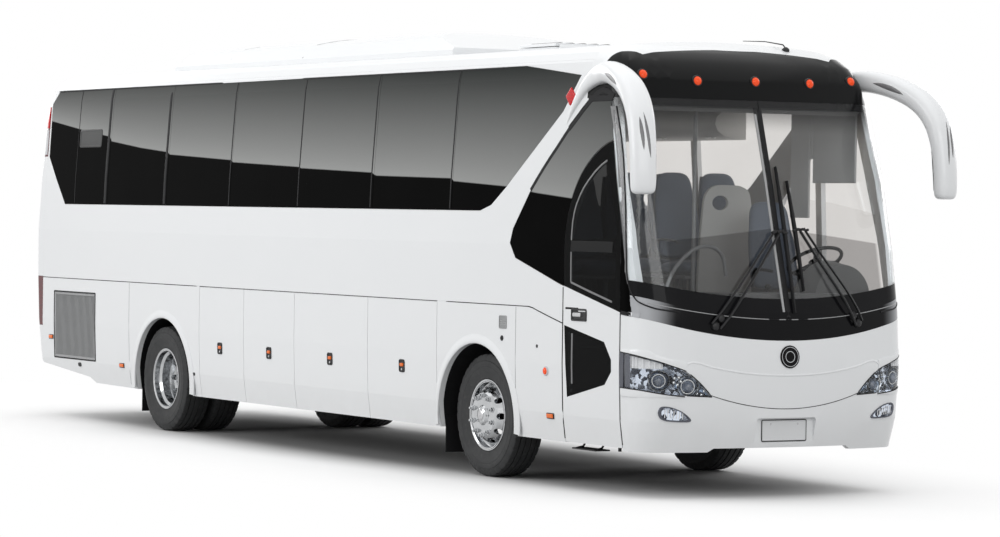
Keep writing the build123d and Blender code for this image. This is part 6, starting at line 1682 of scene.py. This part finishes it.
# The cushion's spine runs from front to back, so that its normal points up.
SEAT_CUSHION = (
    (0.448, 0.378, 0.012, 0.80), (0.435, 0.392, 0.036, 0.93), (0.40, 0.402, 0.050, 0.98), (0.34, 0.40, 0.055, 1.0),
    (0.24, 0.393, 0.056, 1.0), (0.15, 0.388, 0.056, 1.0), (0.06, 0.385, 0.052, 0.98), (0.02, 0.385, 0.035, 0.92),
)
BACK_SEAMS, CUSHION_SEAMS = {3: 0.010, 6: 0.014}, {3: 0.008}


def seat_pad(name, spot, width, spine, seams):
    """A stuffed pad lofted along a spine, with dips for its seams."""
    x, y, floor_z = spot
    points = [(x + dx, floor_z + dz) for dx, dz, _, _ in spine]
    rings = []
    for i, (_, _, thick, wide) in enumerate(spine):
        (x0, z0), (x1, z1) = points[max(0, i - 1)], points[min(len(points) - 1, i + 1)]
        along = Vector((x1 - x0, 0, z1 - z0)).normalized()
        normal = Vector((along.z, 0, -along.x))
        ring = []
        for p, q in pad_ring(width / 2 * wide, thick):
            top = q > 0
            bolster = 0.018 * (abs(p) / (width / 2)) ** 3 if top else 0.0
            crown = 0.010 * (1 - (p / (width / 2)) ** 2) * math.copysign(1, q) if abs(q) > thick * 0.5 else 0.0
            dip = seams.get(i, 0.0) if top else 0.0
            ring.append(Vector((points[i][0], y + p, points[i][1])) + normal * (q + bolster + crown - dip))
        rings.append(ring)
    obj = Shape().rings(rings).make(name, "seat_cloth", sharp=80)
    sub = obj.modifiers.new("soft", "SUBSURF")
    sub.levels = sub.render_levels = 1
    return obj


def seat(name, spot, width, node="passenger_seats"):
    """One seat's cushion, and its back with a rounded headrest."""
    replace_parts(seat_pad(f"{name}_back", spot, width, SEAT_BACK, BACK_SEAMS), node)
    seat_pad(f"{name}_cushion", spot, width, SEAT_CUSHION, CUSHION_SEAMS)


ROW_PITCH, FIRST_ROW, ROWS = 0.785, 3.56, 12
SEAT_FLOOR = 1.37
SEAT_YS, PAIR_Y = (("a", 0.485), ("b", 0.935)), 0.71
SHELL_SPINE = ((-0.040, 0.46), (-0.052, 0.62), (-0.080, 0.80), (-0.112, 0.96), (-0.150, 1.10), (-0.166, 1.17))
SHELL_ACROSS = (-1, -0.85, -0.4, 0, 0.4, 0.85, 1)
SHELL_WALL = 0.014
ARM_REST = ((0.02, 0.50), (0.03, 0.61), (0.10, 0.63), (0.30, 0.62), (0.33, 0.60))


def shell_ring(x, y, dx, dz):
    """One level of a seat's hard back shell."""
    half = 0.205 if dz < 0.9 else 0.205 - (dz - 0.9) * 0.25
    sides = [(0.0, u) for u in SHELL_ACROSS] + [(SHELL_WALL, u) for u in reversed(SHELL_ACROSS)]
    return [(x + dx + (0.012 if abs(u) > 0.8 else 0.0) + wall, y + half * u, SEAT_FLOOR + dz) for wall, u in sides]


for row in range(ROWS):
    x = FIRST_ROW - ROW_PITCH * row
    for side_name, side in SIDES:
        stand, shells = Shape(), Shape()
        tag = f"{side_name}_{row + 1:02d}"
        for letter, y in SEAT_YS:
            seat(f"seat_{tag}_{letter}", (x, side * y, SEAT_FLOOR), 0.435)
            shells.rings([shell_ring(x, side * y, dx, dz) for dx, dz in SHELL_SPINE])
        mid = side * PAIR_Y
        for x0, x1 in ((0.08, 0.13), (0.28, 0.33)):
            for y0, y1 in ((-0.30, -0.26), (0.26, 0.30)):
                stand.block((x + x0, mid + y0, SEAT_FLOOR + 0.004), (x + x1, mid + y1, SEAT_FLOOR + 0.325), 0.006)
        stand.block((x + 0.03, mid - 0.43, SEAT_FLOOR + 0.300), (x + 0.42, mid + 0.43, SEAT_FLOOR + 0.335), 0.008)
        for y in (0.262, PAIR_Y, 1.158):
            stand.tube(curve([(x + dx, side * y, SEAT_FLOOR + dz) for dx, dz in ARM_REST], 4), 0.011, 8)
        stand.make(f"seat_frame_{tag}", "grey_plastic")
        shells.make(f"seat_shells_{tag}", "grey_plastic")
x = FIRST_ROW - ROW_PITCH * ROWS
for k in range(5):
    seat(f"seat_bench_{k + 1}", (x, -0.93 + 0.465 * k, SEAT_FLOOR), 0.45)
bench = Shape().block((x + 0.03, -1.15, SEAT_FLOOR + 0.30), (x + 0.42, 1.15, SEAT_FLOOR + 0.335), 0.008)
for y in (-1.1, -0.55, 0.0, 0.55, 1.1):
    bench.block((x + 0.10, y - 0.02, SEAT_FLOOR + 0.004), (x + 0.34, y + 0.02, SEAT_FLOOR + 0.31), 0.006)
bench.make("seat_frame_bench", "grey_plastic")
DRIVER_Y, DECK_Z = 0.78, 1.13
seat("driver_seat_pad", (4.56, DRIVER_Y, DECK_Z), 0.47, "driver_seat")
post = Shape().lathe([
    (0.0, 0.004), (0.17, 0.004), (0.17, 0.02), (0.09, 0.05), (0.07, 0.10), (0.07, 0.24), (0.15, 0.30),
    (0.15, 0.325), (0.0, 0.325),
], (4.78, DRIVER_Y, DECK_Z), UP, 32)
for y in (0.545, 1.015):
    post.tube(curve([(4.60, y, 1.62), (4.62, y, 1.75), (4.70, y, 1.77), (4.88, y, 1.76)], 4), 0.014, 8)
post.make("driver_seat_pedestal", "black_plastic")

# ---- cab and saloon fittings ------------------------------------------------------------------------
rails = Shape().tube(curve([
    (4.92, -0.52, 1.60), (4.88, -0.40, 1.78), (4.84, -0.20, 1.93), (4.82, -0.02, 1.955), (4.81, 0.10, 1.88),
    (4.81, 0.14, 1.72),
], 6), 0.016)
rails.tube([(4.0, -0.20, z) for z in (1.40, 2.2, 3.40)], 0.017)
rails.tube([(4.02, 0.34, z) for z in (1.40, 3.42)], 0.017)
rails.make("grab_rails", "slat_grey")

# the partition behind the driver, with an oval hole
PARTITION = (
    (0.36, 1.40), (0.37, 1.80), (0.40, 2.20), (0.43, 2.38), (0.52, 2.455), (0.66, 2.465), (0.80, 2.45),
    (0.88, 2.36), (0.90, 2.0), (0.90, 1.40),
)
HOLE_Y, HOLE_Z, HOLE_RADII = 0.575, 2.315, (0.080, 0.062)
outline = [(p.x, p.y) for p in curve([(y, z, 0) for y, z in PARTITION], 4)]
first = math.atan2(outline[0][1] - HOLE_Z, outline[0][0] - HOLE_Y)
turns = [first - TURN * j / len(outline) for j in range(len(outline))]
hole = [(HOLE_Y + HOLE_RADII[0] * math.cos(w), HOLE_Z + HOLE_RADII[1] * math.sin(w)) for w in turns]
faces = ((4.03, outline), (4.06, outline), (4.06, hole), (4.03, hole))
panel = Shape().rings([[(x, y, z) for y, z in line] for x, line in faces], loop=True)
panel.make("driver_partition", "trim")

# parcel shelves with a rounded front and reading lights, ceiling panel, and the blind over the driver's window
SHELF = (
    (1.150, 2.86), (1.04, 2.865), (0.93, 2.885), (0.86, 2.93), (0.83, 2.99), (0.845, 3.05), (0.91, 3.10),
    (1.0, 3.14), (1.06, 3.20), (1.12, 3.34), (1.150, 3.36),
)
READING_LIGHTS = (
    (0.0, ((0.0, 0.0), (0.028, 0.0), (0.028, 0.006), (0.022, 0.009), (0.0, 0.010)), 20),
    (0.09, ((0.0, 0.0), (0.018, 0.0), (0.018, 0.008), (0.012, 0.012), (0.0, 0.012)), 16),
)
for side_name, side in SIDES:
    end = 3.58 if side > 0 else 4.1
    stops = (-5.9, -4.4, -3.0, -1.5, 0.0, 1.5, end - 0.03, end)
    shelf = Shape().rings([[(x, side * y, z) for y, z in SHELF] for x in stops])
    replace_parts(shelf.make(f"parcel_shelf_{side_name}", "trim", sharp=50), "luggage_racks")
    lights = Shape()
    for row in range(ROWS):
        for dx, profile, n in READING_LIGHTS:
            lights.lathe(profile, (3.3 - ROW_PITCH * row + dx, side * 0.95, 2.882), -UP, n)
    lights.make(f"reading_lights_{side_name}", "ceiling_lamp")
CEILING = (
    (-0.98, 3.36), (-0.6, 3.405), (-0.2, 3.42), (0.2, 3.42), (0.6, 3.405), (0.98, 3.36), (0.98, 3.375),
    (0.6, 3.42), (0.0, 3.435), (-0.6, 3.42), (-0.98, 3.375),
)
ceiling = Shape().rings([[(x, y, z) for y, z in CEILING] for x in (-5.9, -3.0, 0.0, 3.0, 4.7)])
ceiling.make("ceiling_panel", "trim", sharp=50)
strips = Shape()
for x in (-4.8, -2.8, -0.8, 1.2, 3.0):
    strips.block((x - 0.45, -0.06, 3.395), (x + 0.45, 0.06, 3.415), 0.006)
strips.make("ceiling_lights", "ceiling_lamp")
blind = Shape()
for x0, x1, z0, z1 in ((4.30, 4.57, 2.20, 3.32), (4.62, 5.22, 2.49, 3.30), (4.57, 4.62, 2.69, 3.32)):
    blind.block((x0, 1.115, z0), (x1, 1.135, z1), 0.006)
blind.make("driver_window_blind", "blind")
HEADER = ((5.10, 3.04), (5.30, 3.035), (5.36, 3.06), (5.33, 3.13), (5.05, 3.30), (4.75, 3.38), (4.72, 3.33))
header = Shape().rings([[(x, y, z) for x, z in HEADER] for y in (-1.05, -0.5, 0.0, 0.5, 1.05)])
header.make("front_header", "trim", sharp=50)
gear = Shape().tube(curve([(4.98, 0.42, 1.14), (4.97, 0.42, 1.45), (4.99, 0.43, 1.62)], 4), 0.010, 8)
gear.lathe([
    (0.0, -0.02), (0.018, -0.014), (0.026, 0.004), (0.022, 0.022), (0.010, 0.030), (0.0, 0.031),
], (4.99, 0.43, 1.63), UP, 20)
gear.make("gear_lever", "black_plastic")
dials = Shape()
for y in (0.66, 0.78, 0.90):
    dials.lathe([
        (0.0, 0.0), (0.045, 0.0), (0.045, 0.008), (0.040, 0.012), (0.038, 0.006), (0.0, 0.006),
    ], (5.24, y, 1.66), (-0.9, 0, 0.44), 28)
dials.make("instrument_dials", "black_plastic")
# folding step under the entrance
step = Shape().block((4.66, -1.215, 0.330), (5.02, -1.075, 0.342), 0.004)
for x in (4.70, 4.98):
    step.tube([(x, -1.10, 0.395), (x, -1.13, 0.350), (x, -1.20, 0.336)], 0.009, 8)
step.tube([(5.36, -1.20, 0.392), (5.36, -1.20, 0.352)], 0.014)
step.make("folding_step", "black_plastic")
